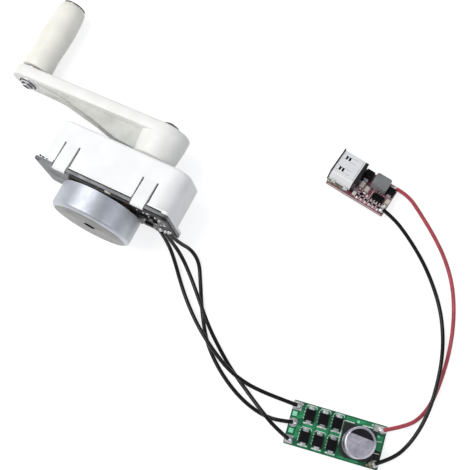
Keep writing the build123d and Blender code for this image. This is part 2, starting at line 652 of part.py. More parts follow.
# ---- crank ----
def crank_arm():
    """One moulding: round hub, tapering arm with a gusset, and the eye for the handle."""
    hub_foot = HUB_TOP - HUB_COLLAR
    hub = disc(HUB_RADIUS, hub_foot, HUB_TOP)
    foot = Cone(HUB_FOOT_RADIUS, HUB_RADIUS, hub_foot - HUB_BOTTOM,
                align=(Align.CENTER, Align.CENTER, Align.MIN))
    hub += Pos(0, 0, HUB_BOTTOM) * foot
    arm = arm_plan() & arm_side()
    eye_bottom = ARM_BOTTOM
    body = hub + arm + disc(ARM_EYE_RADIUS, eye_bottom, HUB_TOP, -ARM_LENGTH)
    body = fillet(body.edges().group_by(Axis.Z)[-1], ARM_EDGE)
    body -= disc(NUT_RECESS_RADIUS, ARM_BOTTOM, ARM_BOTTOM + NUT_RECESS_DEPTH, -ARM_LENGTH)
    body -= disc(HANDLE_PIN_RADIUS, ARM_BOTTOM, HUB_TOP, -ARM_LENGTH)
    body -= shaft_end(HUB_BOTTOM, HUB_TOP - SCREW_SHOULDER)
    body -= disc(SCREW_SHANK_RADIUS, HUB_BOTTOM, HUB_TOP)
    return Pos(CRANK_X, 0, 0) * body


def arm_plan():
    """The arm seen along the crank axis: two circles joined by their tangents."""
    lean = math.asin((HUB_RADIUS - ARM_EYE_RADIUS) / ARM_LENGTH)
    hub_point = (-HUB_RADIUS * math.sin(lean), HUB_RADIUS * math.cos(lean))
    eye_point = (-ARM_LENGTH - ARM_EYE_RADIUS * math.sin(lean), ARM_EYE_RADIUS * math.cos(lean))
    outline = Polyline(hub_point, eye_point, (eye_point[0], -eye_point[1]),
                       (hub_point[0], -hub_point[1]), close=True)
    return extrude(Pos(0, 0, HUB_BOTTOM) * make_face(outline), HUB_TOP - HUB_BOTTOM)


def arm_side():
    """The arm seen from the front: flat on top, thicker below toward the hub."""
    side = Polyline((0, HUB_TOP), (-ARM_LENGTH - ARM_EYE_RADIUS, HUB_TOP),
                    (-ARM_LENGTH - ARM_EYE_RADIUS, ARM_BOTTOM), (-ARM_GUSSET_REACH, ARM_BOTTOM),
                    (-HUB_RADIUS, ARM_BOTTOM - ARM_GUSSET_DROP),
                    (0, ARM_BOTTOM - ARM_GUSSET_DROP), close=True)
    face = Plane.XZ * make_face(side)
    return extrude(face, 2 * HUB_RADIUS, both=True)


def shaft_end(bottom, top):
    """The crank shaft's upper end, with a flat that drives the hub."""
    end = disc(CRANK_SHAFT_RADIUS, bottom, top)
    flat_x = CRANK_SHAFT_RADIUS - SHAFT_FLAT
    return end - block(2 * SHAFT_FLAT, 2 * CRANK_SHAFT_RADIUS, top - bottom, flat_x + SHAFT_FLAT, 0, bottom)


def crank_shaft():
    """Stepped steel shaft, tapped at the top for the hub's screw."""
    step = FIRST_WHEEL_Z + FIRST_WHEEL_FACE + PLAY
    shaft = disc(CRANK_SPIGOT_RADIUS, PCB_TOP + PLAY, step) + disc(CRANK_SHAFT_RADIUS, step, HUB_BOTTOM)
    shaft += shaft_end(HUB_BOTTOM, HUB_TOP - SCREW_SHOULDER)
    tapped = HUB_TOP - SCREW_LENGTH
    shaft -= disc(SCREW_SHANK_RADIUS, tapped, HUB_TOP)
    return Pos(CRANK_X, 0, 0) * shaft


def pan_head(radius, height, bottom):
    """Domed screw head with a cross slot."""
    head = disc(radius, bottom, bottom + height)
    head = fillet(head.edges().sort_by(Axis.Z)[-1], min(height, radius) * 0.6)
    for length, width in ((radius, CROSS_SLOT_WIDTH), (CROSS_SLOT_WIDTH, radius)):
        head -= block(length, width, height / 2, 0, 0, bottom + height / 2)
    return head


def crank_screw():
    screw = disc(SCREW_SHANK_RADIUS, HUB_TOP - SCREW_LENGTH, HUB_TOP)
    screw += pan_head(SCREW_HEAD_RADIUS, SCREW_HEAD_HEIGHT, HUB_TOP)
    return Pos(CRANK_X, 0, 0) * screw


# ---- handle ----
def at_handle(shape):
    return Pos(CRANK_X - ARM_LENGTH, 0, 0) * shape


def handle_grip():
    """Turned grip: slight waist near the arm, slight belly toward a rounded tip."""
    radius = GRIP_RADIUS
    bore = HANDLE_PIN_RADIUS + RUNNING
    base = (radius - GRIP_BASE_ROUND, GRIP_BOTTOM)
    waist = (radius - GRIP_WAIST, GRIP_BOTTOM + GRIP_LENGTH * 0.27)
    belly = (radius, GRIP_BOTTOM + GRIP_LENGTH * 0.74)
    shoulder = (radius - GRIP_TIP_TAPER, GRIP_TOP - GRIP_SHOULDER)
    crown = (radius - GRIP_SHOULDER, GRIP_TOP)
    side = Spline(base, waist, belly, shoulder)
    middle = (radius - 0.45 * GRIP_SHOULDER, GRIP_TOP - 0.3 * GRIP_SHOULDER)
    corner = ThreePointArc(shoulder, middle, crown)
    profile = (Line((bore, GRIP_BOTTOM), base) + side + corner + Line(crown, (bore, GRIP_TOP))
               + Line((bore, GRIP_TOP), (bore, GRIP_BOTTOM)))
    grip = revolve(Plane.XZ * make_face(profile), Axis.Z)
    head_room = HANDLE_HEAD_RADIUS + PLAY
    grip -= disc(head_room, GRIP_TOP - HANDLE_HEAD_SINK - PLAY, GRIP_TOP)
    return at_handle(grip)


def handle_pin():
    """Shoulder screw through the grip, its head sunk in the tip."""
    head_bottom = GRIP_TOP - HANDLE_HEAD_SINK
    pin = disc(HANDLE_PIN_RADIUS, ARM_BOTTOM - HANDLE_PIN_END, head_bottom)
    pin += pan_head(HANDLE_HEAD_RADIUS, HANDLE_HEAD_HEIGHT, head_bottom)
    return at_handle(pin)


def handle_nut():
    """Hexagon nut in the round recess under the eye."""
    bottom = ARM_BOTTOM + NUT_RECESS_DEPTH - NUT_HEIGHT
    nut = extrude(Pos(0, 0, bottom) * RegularPolygon(NUT_FLATS / 2, 6, major_radius=False), NUT_HEIGHT)
    return at_handle(nut - disc(HANDLE_PIN_RADIUS, bottom, bottom + NUT_HEIGHT))


def handle_washer():
    return at_handle(ring(WASHER_RADIUS, HANDLE_PIN_RADIUS, HUB_TOP, HUB_TOP + WASHER_THICKNESS))


# ---- rectifier board ----
def rectifier_board():
    board = block(RECTIFIER_LENGTH, RECTIFIER_WIDTH, BOARD_THICKNESS, 0, 0, 0)
    return fillet(upright(board), BOARD_CORNER)


def diode_spots():
    columns = [DIODE_FIRST + number * DIODE_PITCH for number in range(DIODE_COUNT)]
    return [(x, row * DIODE_ROW) for x in columns for row in (-1, 1)]


def diode_body(x, y):
    """Moulded diode, its four sides drawn in toward the top."""
    foot = Pos(x, y, BOARD_THICKNESS + DIODE_LEAD_THICKNESS) * Rectangle(DIODE_WIDTH, DIODE_LENGTH)
    top = Pos(x, y, BOARD_THICKNESS + DIODE_HEIGHT) * Rectangle(
        DIODE_WIDTH - 2 * DIODE_DRAFT, DIODE_LENGTH - 2 * DIODE_DRAFT)
    return loft([foot.face(), top.face()])


def diode_leads():
    leads = []
    for x, y in diode_spots():
        for side in (-1, 1):
            middle = y + side * (DIODE_LENGTH / 2)
            leads.append(block(DIODE_WIDTH * 0.6, 2 * DIODE_LEAD, DIODE_LEAD_THICKNESS, x, middle,
                               BOARD_THICKNESS))
    return leads


def capacitor_base():
    """Square foot with two corners cut to mark the polarity."""
    level = BOARD_THICKNESS
    base = block(CAN_BASE, CAN_BASE, CAN_BASE_HEIGHT, CAN_X, CAN_Y, level)
    marked = upright(base).sort_by(Axis.Y)[:2]
    return chamfer(marked, CAN_BASE_CUT)


def capacitor_can():
    """Aluminium can with a crimped groove above its foot."""
    bottom = BOARD_THICKNESS + CAN_BASE_HEIGHT
    can = disc(CAN_RADIUS, bottom, bottom + CAN_HEIGHT, CAN_X, CAN_Y)
    can = fillet(can.edges().sort_by(Axis.Z)[-1], CAN_EDGE)
    groove = Torus(CAN_RADIUS + CAN_GROOVE, 2 * CAN_GROOVE)
    return can - Pos(CAN_X, CAN_Y, bottom + CAN_GROOVE_LEVEL) * groove


def rectifier_solder():
    heaps = []
    for x, y in rectifier_pads():
        heaps.append(solder(PAD_SOLDER_RADIUS, PAD_SOLDER_HEIGHT, x, y, BOARD_THICKNESS))
    return heaps


def rectifier_pads():
    return [(-PAD_X, PAD_Y), (-PAD_X, 0), (-PAD_X, -PAD_Y), (PAD_X, PAD_Y), (PAD_X, -PAD_Y)]


# ---- step-down board ----
def usb_board():
    board = block(USB_LENGTH, USB_WIDTH, BOARD_THICKNESS, 0, 0, 0)
    return fillet(upright(board), BOARD_CORNER)


def socket_front():
    return -USB_LENGTH / 2 - SHELL_OVERHANG


def usb_shell():
    """Folded steel shell: open front, two spring windows in the roof, flared mouth."""
    x = socket_front() + SHELL_LENGTH / 2
    shell = block(SHELL_LENGTH, SHELL_WIDTH, SHELL_HEIGHT, x, 0, BOARD_THICKNESS)
    shell = fillet(shell.edges().filter_by(Axis.X), SHELL_CORNER)
    shell -= block(SHELL_LENGTH, SHELL_WIDTH - 2 * SHELL_WALL, SHELL_HEIGHT - 2 * SHELL_WALL, x, 0,
                   BOARD_THICKNESS + SHELL_WALL)
    for side in (-1, 1):
        window_x = socket_front() + SHELL_WINDOW_X
        for offset in (-SHELL_SLOT_SPREAD, SHELL_SLOT_SPREAD):
            shell -= block(SHELL_SLOT_WIDTH, SHELL_SLOT_LENGTH, 2 * SHELL_WALL, window_x + offset,
                           side * SHELL_WINDOW_Y, BOARD_THICKNESS + SHELL_HEIGHT - SHELL_WALL)
    return shell


def socket_inside_top():
    return BOARD_THICKNESS + SHELL_HEIGHT - SHELL_WALL


def usb_tongue():
    """Black insulator: a back block, and the tongue that carries the contacts."""
    back_x = socket_front() + SHELL_LENGTH + SOCKET_BACK / 2
    tongue = block(SOCKET_BACK, SHELL_WIDTH - 2 * SOCKET_BACK_INSET,
                   SHELL_HEIGHT - SOCKET_BACK_INSET, back_x, 0, BOARD_THICKNESS)
    length = TONGUE_LENGTH
    top = socket_inside_top() - TONGUE_DROP
    tongue += block(length, TONGUE_WIDTH, TONGUE_THICKNESS, back_x - SOCKET_BACK / 2 - length / 2, 0,
                    top - TONGUE_THICKNESS)
    return tongue


def usb_contacts():
    """Four flat contacts under the tongue."""
    top = socket_inside_top() - TONGUE_DROP - TONGUE_THICKNESS
    length = TONGUE_LENGTH - CONTACT_INSET
    x = socket_front() + SHELL_LENGTH - length / 2
    contacts = []
    for number in range(CONTACT_COUNT):
        y = (number - (CONTACT_COUNT - 1) / 2) * CONTACT_PITCH
        contacts.append(block(length, CONTACT_WIDTH, CONTACT_THICKNESS, x, y, top - CONTACT_THICKNESS))
    return contacts


def inductor():
    """Shielded inductor: square with cut corners."""
    body = block(INDUCTOR_SIZE, INDUCTOR_SIZE, INDUCTOR_HEIGHT, INDUCTOR_X, INDUCTOR_Y, BOARD_THICKNESS)
    return chamfer(upright(body), INDUCTOR_CUT)


def power_blocks():
    """Two moulded diodes, one each side of the inductor."""
    blocks = []
    for x, y, length, width in POWER_BLOCKS:
        body = block(length, width, BLOCK_HEIGHT, x, y, BOARD_THICKNESS)
        blocks.append(chamfer(body.edges().group_by(Axis.Z)[-1], BLOCK_EDGE))
    return blocks


def ceramic_capacitors():
    return [block(CERAMIC_WIDTH, CERAMIC_LENGTH, CERAMIC_HEIGHT, x, y, BOARD_THICKNESS)
            for x, y in CERAMIC_SPOTS]


def converter_chip():
    body = block(CHIP_LENGTH, CHIP_WIDTH, CHIP_HEIGHT - CHIP_STANDOFF, CHIP_X, CHIP_Y,
                 BOARD_THICKNESS + CHIP_STANDOFF)
    return chamfer(body.edges().group_by(Axis.Z)[-1], CHIP_EDGE)


def chip_pins():
    """Gull-wing pins along both long sides."""
    pins = []
    for number in range(CHIP_PINS):
        x = CHIP_X + (number - (CHIP_PINS - 1) / 2) * CHIP_PITCH
        for side in (-1, 1):
            pins.append(block(CHIP_PIN_WIDTH, CHIP_PIN_LENGTH, CHIP_STANDOFF, x,
                              CHIP_Y + side * CHIP_WIDTH / 2, BOARD_THICKNESS))
    return pins


def chip_resistors():
    """Row of small resistors along the near edge."""
    spots = [RESISTOR_FIRST + number * RESISTOR_PITCH for number in range(RESISTOR_COUNT)]
    return [block(RESISTOR_WIDTH, RESISTOR_LENGTH, RESISTOR_HEIGHT, x, RESISTOR_Y, BOARD_THICKNESS)
            for x in spots]


def usb_solder():
    return [solder(USB_SOLDER_RADIUS, USB_SOLDER_HEIGHT, USB_PAD_X, side * USB_PAD_Y,
                   BOARD_THICKNESS) for side in (-1, 1)]


# ---- wires ----
def corner_radii(points):
    """Largest arcs that the runs on both sides allow."""
    radii = []
    for before, corner, after in zip(points, points[1:], points[2:]):
        arriving = Vector(corner) - Vector(before)
        leaving = Vector(after) - Vector(corner)
        half_turn = math.radians(arriving.get_angle(leaving)) / 2
        radii.append(0.45 * min(arriving.length, leaving.length) / math.tan(half_turn))
    return radii


def wire(name, points):
    """Round tube along straight runs joined by tangent arcs."""
    radii = corner_radii(points)
    path = FilletPolyline(*points, radius=radii)
    section = Plane(origin=path @ 0, z_dir=path % 0) * Circle(WIRE_DIAMETER / 2)
    tube = sweep(section, path=path)
    expected = math.pi * WIRE_DIAMETER ** 2 / 4 * path.length
    runs = [(Vector(b) - Vector(a)).length for a, b in zip(points, points[1:])]
    print(name, "length", round(path.length, 1), "volume ratio", round(tube.volume / expected, 4),
          "tightest", round(min(radii), 1), "radii", [round(r) for r in radii])
    print("   runs", [round(r, 1) for r in runs])
    return tube


def build_wires():
    routes = {"phase_wire_a": PHASE_WIRE_A, "phase_wire_b": PHASE_WIRE_B, "phase_wire_c": PHASE_WIRE_C,
              "positive_wire": POSITIVE_WIRE, "negative_wire": NEGATIVE_WIRE}
    for name, points in routes.items():
        keep(name, wire(name, points), Pos(0, 0, 0))


def build_unit():
    place = LAID_DOWN
    keep("rotor_cup", rotor_cup(), place)
    keep("rotor_magnet", rotor_magnet(), place)
    keep("rotor_shaft", rotor_shaft(), place)
    keep("motor_pinion", motor_pinion(), place)
    keep("stator_core", stator_core(), place)
    keep("stator_windings", stator_windings(), place)
    keep("bearing_tube", bearing_tube(), place)
    keep("motor_bearings", motor_bearings(), place)
    keep("base_plate", base_plate(), place)
    keep("motor_pcb", motor_pcb(), place)
    keep("motor_pcb_parts", motor_pcb_parts(), place)
    keep("phase_solder", phase_solder(), place)
    keep("gear_housing", gear_housing(), place)
    keep("crank_bushes", crank_bushes(), place)
    keep("idler_pin", idler_pin(), place)
    keep("first_idler_gear", first_idler(), place)
    keep("second_idler_gear", second_idler(), place)
    keep("crank_gear", crank_gear(), place)


def build_crank():
    place = LAID_DOWN * ARM_TURN
    keep("crank_arm", crank_arm(), place)
    keep("crank_shaft", crank_shaft(), place)
    keep("crank_screw", crank_screw(), place)
    keep("handle_grip", handle_grip(), place)
    keep("handle_pin", handle_pin(), place)
    keep("handle_nut", handle_nut(), place)
    keep("handle_washer", handle_washer(), place)


def build_rectifier():
    place = ON_RECTIFIER
    keep("rectifier_board", rectifier_board(), place)
    keep("rectifier_diodes", [diode_body(x, y) for x, y in diode_spots()], place)
    keep("diode_leads", diode_leads(), place)
    keep("capacitor_base", capacitor_base(), place)
    keep("capacitor_can", capacitor_can(), place)
    keep("rectifier_solder", rectifier_solder(), place)


def build_step_down():
    place = ON_USB
    keep("usb_board", usb_board(), place)
    keep("usb_shell", usb_shell(), place)
    keep("usb_tongue", usb_tongue(), place)
    keep("usb_contacts", usb_contacts(), place)
    keep("inductor", inductor(), place)
    keep("power_diodes", power_blocks(), place)
    keep("ceramic_capacitors", ceramic_capacitors(), place)
    keep("converter_chip", converter_chip(), place)
    keep("chip_pins", chip_pins(), place)
    keep("chip_resistors", chip_resistors(), place)
    keep("usb_solder", usb_solder(), place)


def write_all():
    os.makedirs("parts", exist_ok=True)
    for name, solids in nodes.items():
        shape = solids[0] if len(solids) == 1 else Compound(solids)
        export_step(shape, os.path.join("parts", name + ".step"))


build_unit()
build_crank()
build_rectifier()
build_step_down()
build_wires()
object_solids = [solid for name, solids in nodes.items() if "wire" not in name for solid in solids]
whole = Compound(object_solids)
box = whole.bounding_box()
print("object from", box.min, "to", box.max)
print("arm dip", round(ARM_DIP, 2), "unit height", round(UNIT_HEIGHT, 2),
      "crank x", CRANK_X, "idler x", IDLER_X)
write_all()
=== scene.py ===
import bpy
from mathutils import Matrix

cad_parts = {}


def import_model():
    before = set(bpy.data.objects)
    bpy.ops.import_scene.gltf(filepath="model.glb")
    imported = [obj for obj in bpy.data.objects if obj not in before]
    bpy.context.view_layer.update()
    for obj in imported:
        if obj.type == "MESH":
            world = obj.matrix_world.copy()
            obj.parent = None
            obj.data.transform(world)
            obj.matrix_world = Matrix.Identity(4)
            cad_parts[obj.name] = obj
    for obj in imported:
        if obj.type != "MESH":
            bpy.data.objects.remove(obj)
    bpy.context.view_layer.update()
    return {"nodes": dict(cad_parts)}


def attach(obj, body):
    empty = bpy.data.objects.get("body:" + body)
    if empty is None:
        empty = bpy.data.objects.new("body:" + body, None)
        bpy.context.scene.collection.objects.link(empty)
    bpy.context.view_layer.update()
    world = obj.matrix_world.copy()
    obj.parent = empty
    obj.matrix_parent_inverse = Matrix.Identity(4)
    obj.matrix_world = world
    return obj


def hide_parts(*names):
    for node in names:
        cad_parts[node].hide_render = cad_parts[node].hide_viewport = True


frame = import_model()

import math

import bmesh
import bpy
from mathutils import Matrix, Vector, noise

# Looks of a hand crank phone charger: geared generator with its crank, rectifier board and
# step-down board with a socket. Sizes below are in millimetres and become metres in the meshes.
MM = 0.001

# ---- places, as the solids have them ----
UNIT = (-39.37, -22.09, 17.05)      # motor axis at the cup's face
UNIT_TILT = 8.8
CRANK_X = 9.5
RECTIFIER = (82.02, -48.45, 0.0)
RECTIFIER_TURN = 11.1
USB = (47.99, 45.9)
USB_TURN = -5.3
USB_LEAN = 20
USB_WIDTH = 16
BOARD_TOP = 1.6

# ---- camera, fitted to the photograph ----
CAMERA_TARGET = (10.84, 4.55, 0.0)
CAMERA_AZIMUTH = 27.4
CAMERA_ELEVATION = 76.0
CAMERA_DISTANCE = 390.6
CAMERA_LENS = 73.4
SENSOR_WIDTH = 36.0
NEAREST, FARTHEST = 0.01, 10.0      # what the camera sees, in metres

WIRE_DIAMETER = 1.6

PHASE_WIRE_A = (
    (-13.93, -11.04, 16.13), (-11.15, -11.95, 8.8), (-6.55, -15.5, 3), (2.19, -24.9, 0.9),
    (10.39, -32.1, 2.2), (17.99, -37.6, 4.5), (26.09, -42.1, 4.7), (34.49, -45.8, 4.7),
    (42.89, -47.2, 4.4), (50.65, -46.77, 2.3), (57.42, -46.05, 2.5), (63.9, -45.28, 2.5),
)
PHASE_WIRE_B = (
    (-11.78, -11.04, 17.27), (-8.45, -11.8, 9.6), (-3.55, -14, 4.4), (3.09, -19.3, 3.8),
    (10.09, -25.7, 4.7), (18.69, -33.7, 4.7), (26.09, -39.1, 2.4), (33.59, -44, 0.9),
    (40.89, -47.8, 1), (47.69, -51.3, 2.9), (53.46, -54.17, 4.8), (59.82, -56.85, 4.2),
    (66.4, -58.28, 2.4),
)
PHASE_WIRE_C = (
    (-10.02, -11.04, 18.96), (-5.95, -10.95, 11.4), (-1.45, -9.9, 5), (3.35, -12.4, 1.7),
    (7.29, -18.8, 0.9), (11.69, -26.3, 0.9), (15.99, -32.9, 0.9), (20.89, -39.2, 0.9),
    (26.79, -44.3, 0.9), (33.49, -48.6, 0.9), (40.69, -52, 0.9), (47.99, -54.1, 0.9),
    (54.86, -54.67, 1.1), (60.22, -53.75, 2.5), (65.2, -51.78, 2.5),
)
POSITIVE_WIRE = (
    (60.91, 51.6, 2.9), (66.31, 51.4, 2.6), (73.8, 47.3, 1.3), (82.99, 41.2, 0.9),
    (90.99, 34.5, 0.9), (97.79, 26.4, 0.9), (102.69, 17.3, 0.9), (106.19, 7.9, 0.9),
    (108.49, -1.7, 0.9), (109.69, -11.1, 0.9), (110.09, -19.6, 0.9), (108.76, -27.07, 0.9),
    (104.92, -33.05, 2.4), (97.7, -38.48, 2.5),
)
NEGATIVE_WIRE = (
    (59.77, 39.6, 7.35), (65.27, 38.45, 7), (73.85, 34.75, 4.4), (83.49, 29.1, 1.8),
    (91.79, 21.8, 0.9), (98.49, 13.8, 0.9), (103.19, 5.1, 1.8), (106.09, -3.5, 4.2),
    (108.19, -12.3, 4.8), (109.69, -21.7, 4.8), (109.89, -30.8, 4), (108.66, -39.27, 1.7),
    (105.42, -46.45, 2.6), (100.1, -51.48, 2.5),
)


def turn_about(axis, degrees):
    return Matrix.Rotation(math.radians(degrees), 4, axis)


def moved(x, y, z):
    """Shift in millimetres."""
    return Matrix.Translation(Vector((x, y, z)) * MM)


USB_LIFT = USB_WIDTH / 2 * math.sin(math.radians(USB_LEAN))
ON_UNIT = moved(*UNIT) @ turn_about("Y", -UNIT_TILT) @ turn_about("X", -90)
ON_RECTIFIER = moved(*RECTIFIER) @ turn_about("Z", RECTIFIER_TURN)
ON_USB = moved(*USB, USB_LIFT) @ turn_about("Z", USB_TURN) @ turn_about("X", -USB_LEAN)


# ---- materials ----
def srgb(red, green, blue):
    """Display colour, 0 to 255, as a linear colour with alpha."""
    def linear(value):
        value /= 255
        return value / 12.92 if value <= 0.04045 else ((value + 0.055) / 1.055) ** 2.4
    return (linear(red), linear(green), linear(blue), 1.0)


DRIFT_LOW, DRIFT_HIGH = 0.3, 0.7      # between these a noise goes from one tone to the other


class Surface:
    """A Principled material: colour, roughness and bump come from noise in object space."""

    def __init__(self, name, roughness, metallic=0.0, coat=0.0, coat_roughness=0.1):
        self.material = bpy.data.materials.new(name)
        self.material.use_nodes = True
        self.tree = self.material.node_tree
        self.shader = self.tree.nodes["Principled BSDF"]
        self.shader.inputs["Roughness"].default_value = roughness
        self.shader.inputs["Metallic"].default_value = metallic
        self.shader.inputs["Coat Weight"].default_value = coat
        self.shader.inputs["Coat Roughness"].default_value = coat_roughness
        self.place = self.node("ShaderNodeTexCoord").outputs["Object"]
        self.height = None

    def node(self, kind, **settings):
        made = self.tree.nodes.new(kind)
        for key, value in settings.items():
            setattr(made, key, value)
        return made

    def link(self, source, target):
        self.tree.links.new(source, target)

    def noise(self, size, detail, stretch):
        """Noise with blotches of about size millimetres."""
        mapping = self.node("ShaderNodeMapping")
        mapping.inputs["Scale"].default_value = [1 / (size * MM * s) for s in stretch]
        self.link(self.place, mapping.inputs["Vector"])
        noise_node = self.node("ShaderNodeTexNoise")
        noise_node.inputs["Scale"].default_value = 1.0
        noise_node.inputs["Detail"].default_value = detail
        self.link(mapping.outputs["Vector"], noise_node.inputs["Vector"])
        return noise_node.outputs["Fac"]

    def colour(self, low, high, size, detail=4.0, stretch=(1, 1, 1)):
        """Colour that drifts between two tones."""
        drift = self.noise(size, detail, stretch)
        ramp = self.node("ShaderNodeValToRGB")
        stops = zip(ramp.color_ramp.elements, (DRIFT_LOW, DRIFT_HIGH), (low, high))
        for element, position, tone in stops:
            element.position = position
            element.color = tone
        self.link(drift, ramp.inputs["Fac"])
        self.link(ramp.outputs["Color"], self.shader.inputs["Base Color"])
        return self

    def polish(self, low, high, size, stretch=(1, 1, 1)):
        """Roughness between two values, in blotches of that size."""
        spread = self.node("ShaderNodeMapRange")
        spread.inputs["From Min"].default_value = DRIFT_LOW
        spread.inputs["From Max"].default_value = DRIFT_HIGH
        spread.inputs["To Min"].default_value = low
        spread.inputs["To Max"].default_value = high
        self.link(self.noise(size, 3.0, stretch), spread.inputs["Value"])
        self.link(spread.outputs["Result"], self.shader.inputs["Roughness"])
        return self

    def grain(self, size, depth, detail=2.0, stretch=(1, 1, 1)):
        """Fine relief: blotches of that size, of that depth in millimetres."""
        return self.relief(self.noise(size, detail, stretch), depth)

    def relief(self, value, depth):
        """Bump of that depth in millimetres, on top of the bumps that the surface has."""
        bump = self.node("ShaderNodeBump")
        bump.inputs["Strength"].default_value = 1.0
        bump.inputs["Distance"].default_value = depth * MM
        self.link(value, bump.inputs["Height"])
        if self.height is not None:
            self.link(self.height, bump.inputs["Normal"])
        self.height = bump.outputs["Normal"]
        self.link(self.height, self.shader.inputs["Normal"])
        return self

    def rings(self, centre, pitch, depth):
        """Turning marks round an axis along Y through centre, a point in millimetres."""
        shift = self.node("ShaderNodeVectorMath", operation="SUBTRACT")
        shift.inputs[1].default_value = [c * MM for c in centre]
        self.link(self.place, shift.inputs[0])
        flat = self.node("ShaderNodeVectorMath", operation="MULTIPLY")
        flat.inputs[1].default_value = (1, 0, 1)
        self.link(shift.outputs["Vector"], flat.inputs[0])
        length = self.node("ShaderNodeVectorMath", operation="LENGTH")
        self.link(flat.outputs["Vector"], length.inputs[0])
        combine = self.node("ShaderNodeCombineXYZ")
        self.link(length.outputs["Value"], combine.inputs["X"])
        scaled = self.node("ShaderNodeTexNoise")
        scaled.inputs["Scale"].default_value = 1 / (pitch * MM)
        scaled.inputs["Detail"].default_value = 2.0
        self.link(combine.outputs["Vector"], scaled.inputs["Vector"])
        return self.relief(scaled.outputs["Fac"], depth)


def moulded_plastic(name, low, high, roughness=0.38, grain=0.004, shine=0.45):
    """Injection moulding: even colour, faint flow blotches, satin skin."""
    surface = Surface(name, roughness)
    surface.shader.inputs["Specular IOR Level"].default_value = shine
    surface.colour(srgb(*low), srgb(*high), 7.0)
    surface.polish(roughness - 0.05, roughness + 0.08, 3.0)
    surface.grain(0.5, grain).grain(0.12, grain / 3)
    return surface.material


def metal(name, low, high, roughness, grain=0.002, size=1.0, stretch=(1, 1, 1)):
    surface = Surface(name, roughness, metallic=1.0)
    surface.colour(srgb(*low), srgb(*high), size * 3, 3.0, stretch)
    surface.polish(roughness * 0.75, roughness * 1.3, size, stretch)
    surface.grain(size * 0.2, grain, 2.0, stretch)
    return surface.material


def turned_metal(name, low, high, roughness, centre):
    """Spun or turned metal: rings round the axis, fine blasted skin."""
    surface = Surface(name, roughness, metallic=1.0)
    surface.colour(srgb(*low), srgb(*high), 5.0)
    surface.polish(roughness - 0.04, roughness + 0.06, 1.5)
    surface.rings(centre, 0.35, 0.0015).grain(0.08, 0.0015)
    return surface.material


WEAVE_SCALE = 900      # a Wave node's scale that puts its bands 0.35 mm apart, as in glass cloth
WEAVE_DEPTH = 0.002


def circuit_board(name, low, high, waviness, gloss=0.25):
    """Solder mask over fibreglass: glossy lacquer, faint weave, hazy tracks under it."""
    surface = Surface(name, gloss, coat=0.25, coat_roughness=0.12)
    surface.shader.inputs["Specular IOR Level"].default_value = 0.3
    surface.colour(srgb(*low), srgb(*high), 2.2, 5.0)
    surface.polish(gloss, gloss + 0.2, 0.8)
    for direction in ("X", "Y"):
        weave = surface.node("ShaderNodeTexWave", wave_type="BANDS", bands_direction=direction)
        weave.inputs["Scale"].default_value = WEAVE_SCALE
        surface.link(surface.place, weave.inputs["Vector"])
        surface.relief(weave.outputs["Fac"], WEAVE_DEPTH)
    surface.grain(1.4, waviness)
    return surface.material


def shell_metal(name, low, high):
    """Bright tin plate that still scatters: part metal, with fine rolled lines."""
    surface = Surface(name, 0.3, metallic=0.1)
    surface.colour(srgb(*low), srgb(*high), 3.0, 3.0, (6, 1, 1))
    surface.polish(0.24, 0.4, 1.0, (5, 1, 1))
    surface.grain(0.25, 0.001, 2.0, (6, 1, 1))
    return surface.material


def solder_metal(name):
    surface = Surface(name, 0.28, metallic=0.75)
    surface.colour(srgb(196, 196, 198), srgb(240, 240, 241), 0.8)
    surface.polish(0.16, 0.42, 0.5)
    surface.grain(0.35, 0.03).grain(0.1, 0.006)
    return surface.material


def rubber(name, low, high, shine, polish):
    """Silicone jacket: soft sheen, faint drawn lines and dust."""
    surface = Surface(name, 0.42)
    surface.shader.inputs["Specular IOR Level"].default_value = shine
    surface.colour(srgb(*low), srgb(*high), 4.0)
    surface.polish(polish, polish + 0.16, 1.2)
    surface.grain(0.3, 0.003)
    return surface.material


MOTOR_AXIS = (UNIT[0], 0, UNIT[2])
WHITE = moulded_plastic("white_moulding", (242, 242, 241), (249, 249, 248), 0.36)
CREAM = moulded_plastic("cream_moulding", (238, 237, 232), (247, 246, 242), 0.42)
# web ribs: the cream plastic painted darker, as painted shade under the arm, with a rougher skin
SHADED_WEB = moulded_plastic("web_painted_shade", (190, 191, 184), (216, 217, 211), 0.6, 0.03, 0.25)
IVORY = moulded_plastic("ivory_grip", (240, 237, 225), (250, 248, 238), 0.34)
NYLON = moulded_plastic("nylon", (226, 224, 214), (238, 236, 228), 0.45)
BLACK = moulded_plastic("black_moulding", (20, 20, 23), (38, 38, 42), 0.4, 0.006)
CHIP = moulded_plastic("chip_epoxy", (7, 7, 9), (17, 17, 21), 0.6, 0.012, 0.12)
CUP = turned_metal("satin_cup", (182, 186, 194), (198, 201, 207), 0.46, MOTOR_AXIS)
STEEL = metal("turned_steel", (168, 168, 170), (208, 208, 210), 0.24)
# base plate steel painted dark grey: painted shade under the lip of the housing
SHADED_PLATE = metal("plate_steel", (92, 93, 96), (124, 125, 128), 0.46, 0.002, 1.2, (4, 1, 1))
# near-black steel for painted shade: the socket's mouth and the gaps round the hub screw, eye nut and
# grip tip
PAINTED_SHADE_STEEL = metal("painted_shade_steel", (26, 26, 28), (48, 48, 51), 0.5)
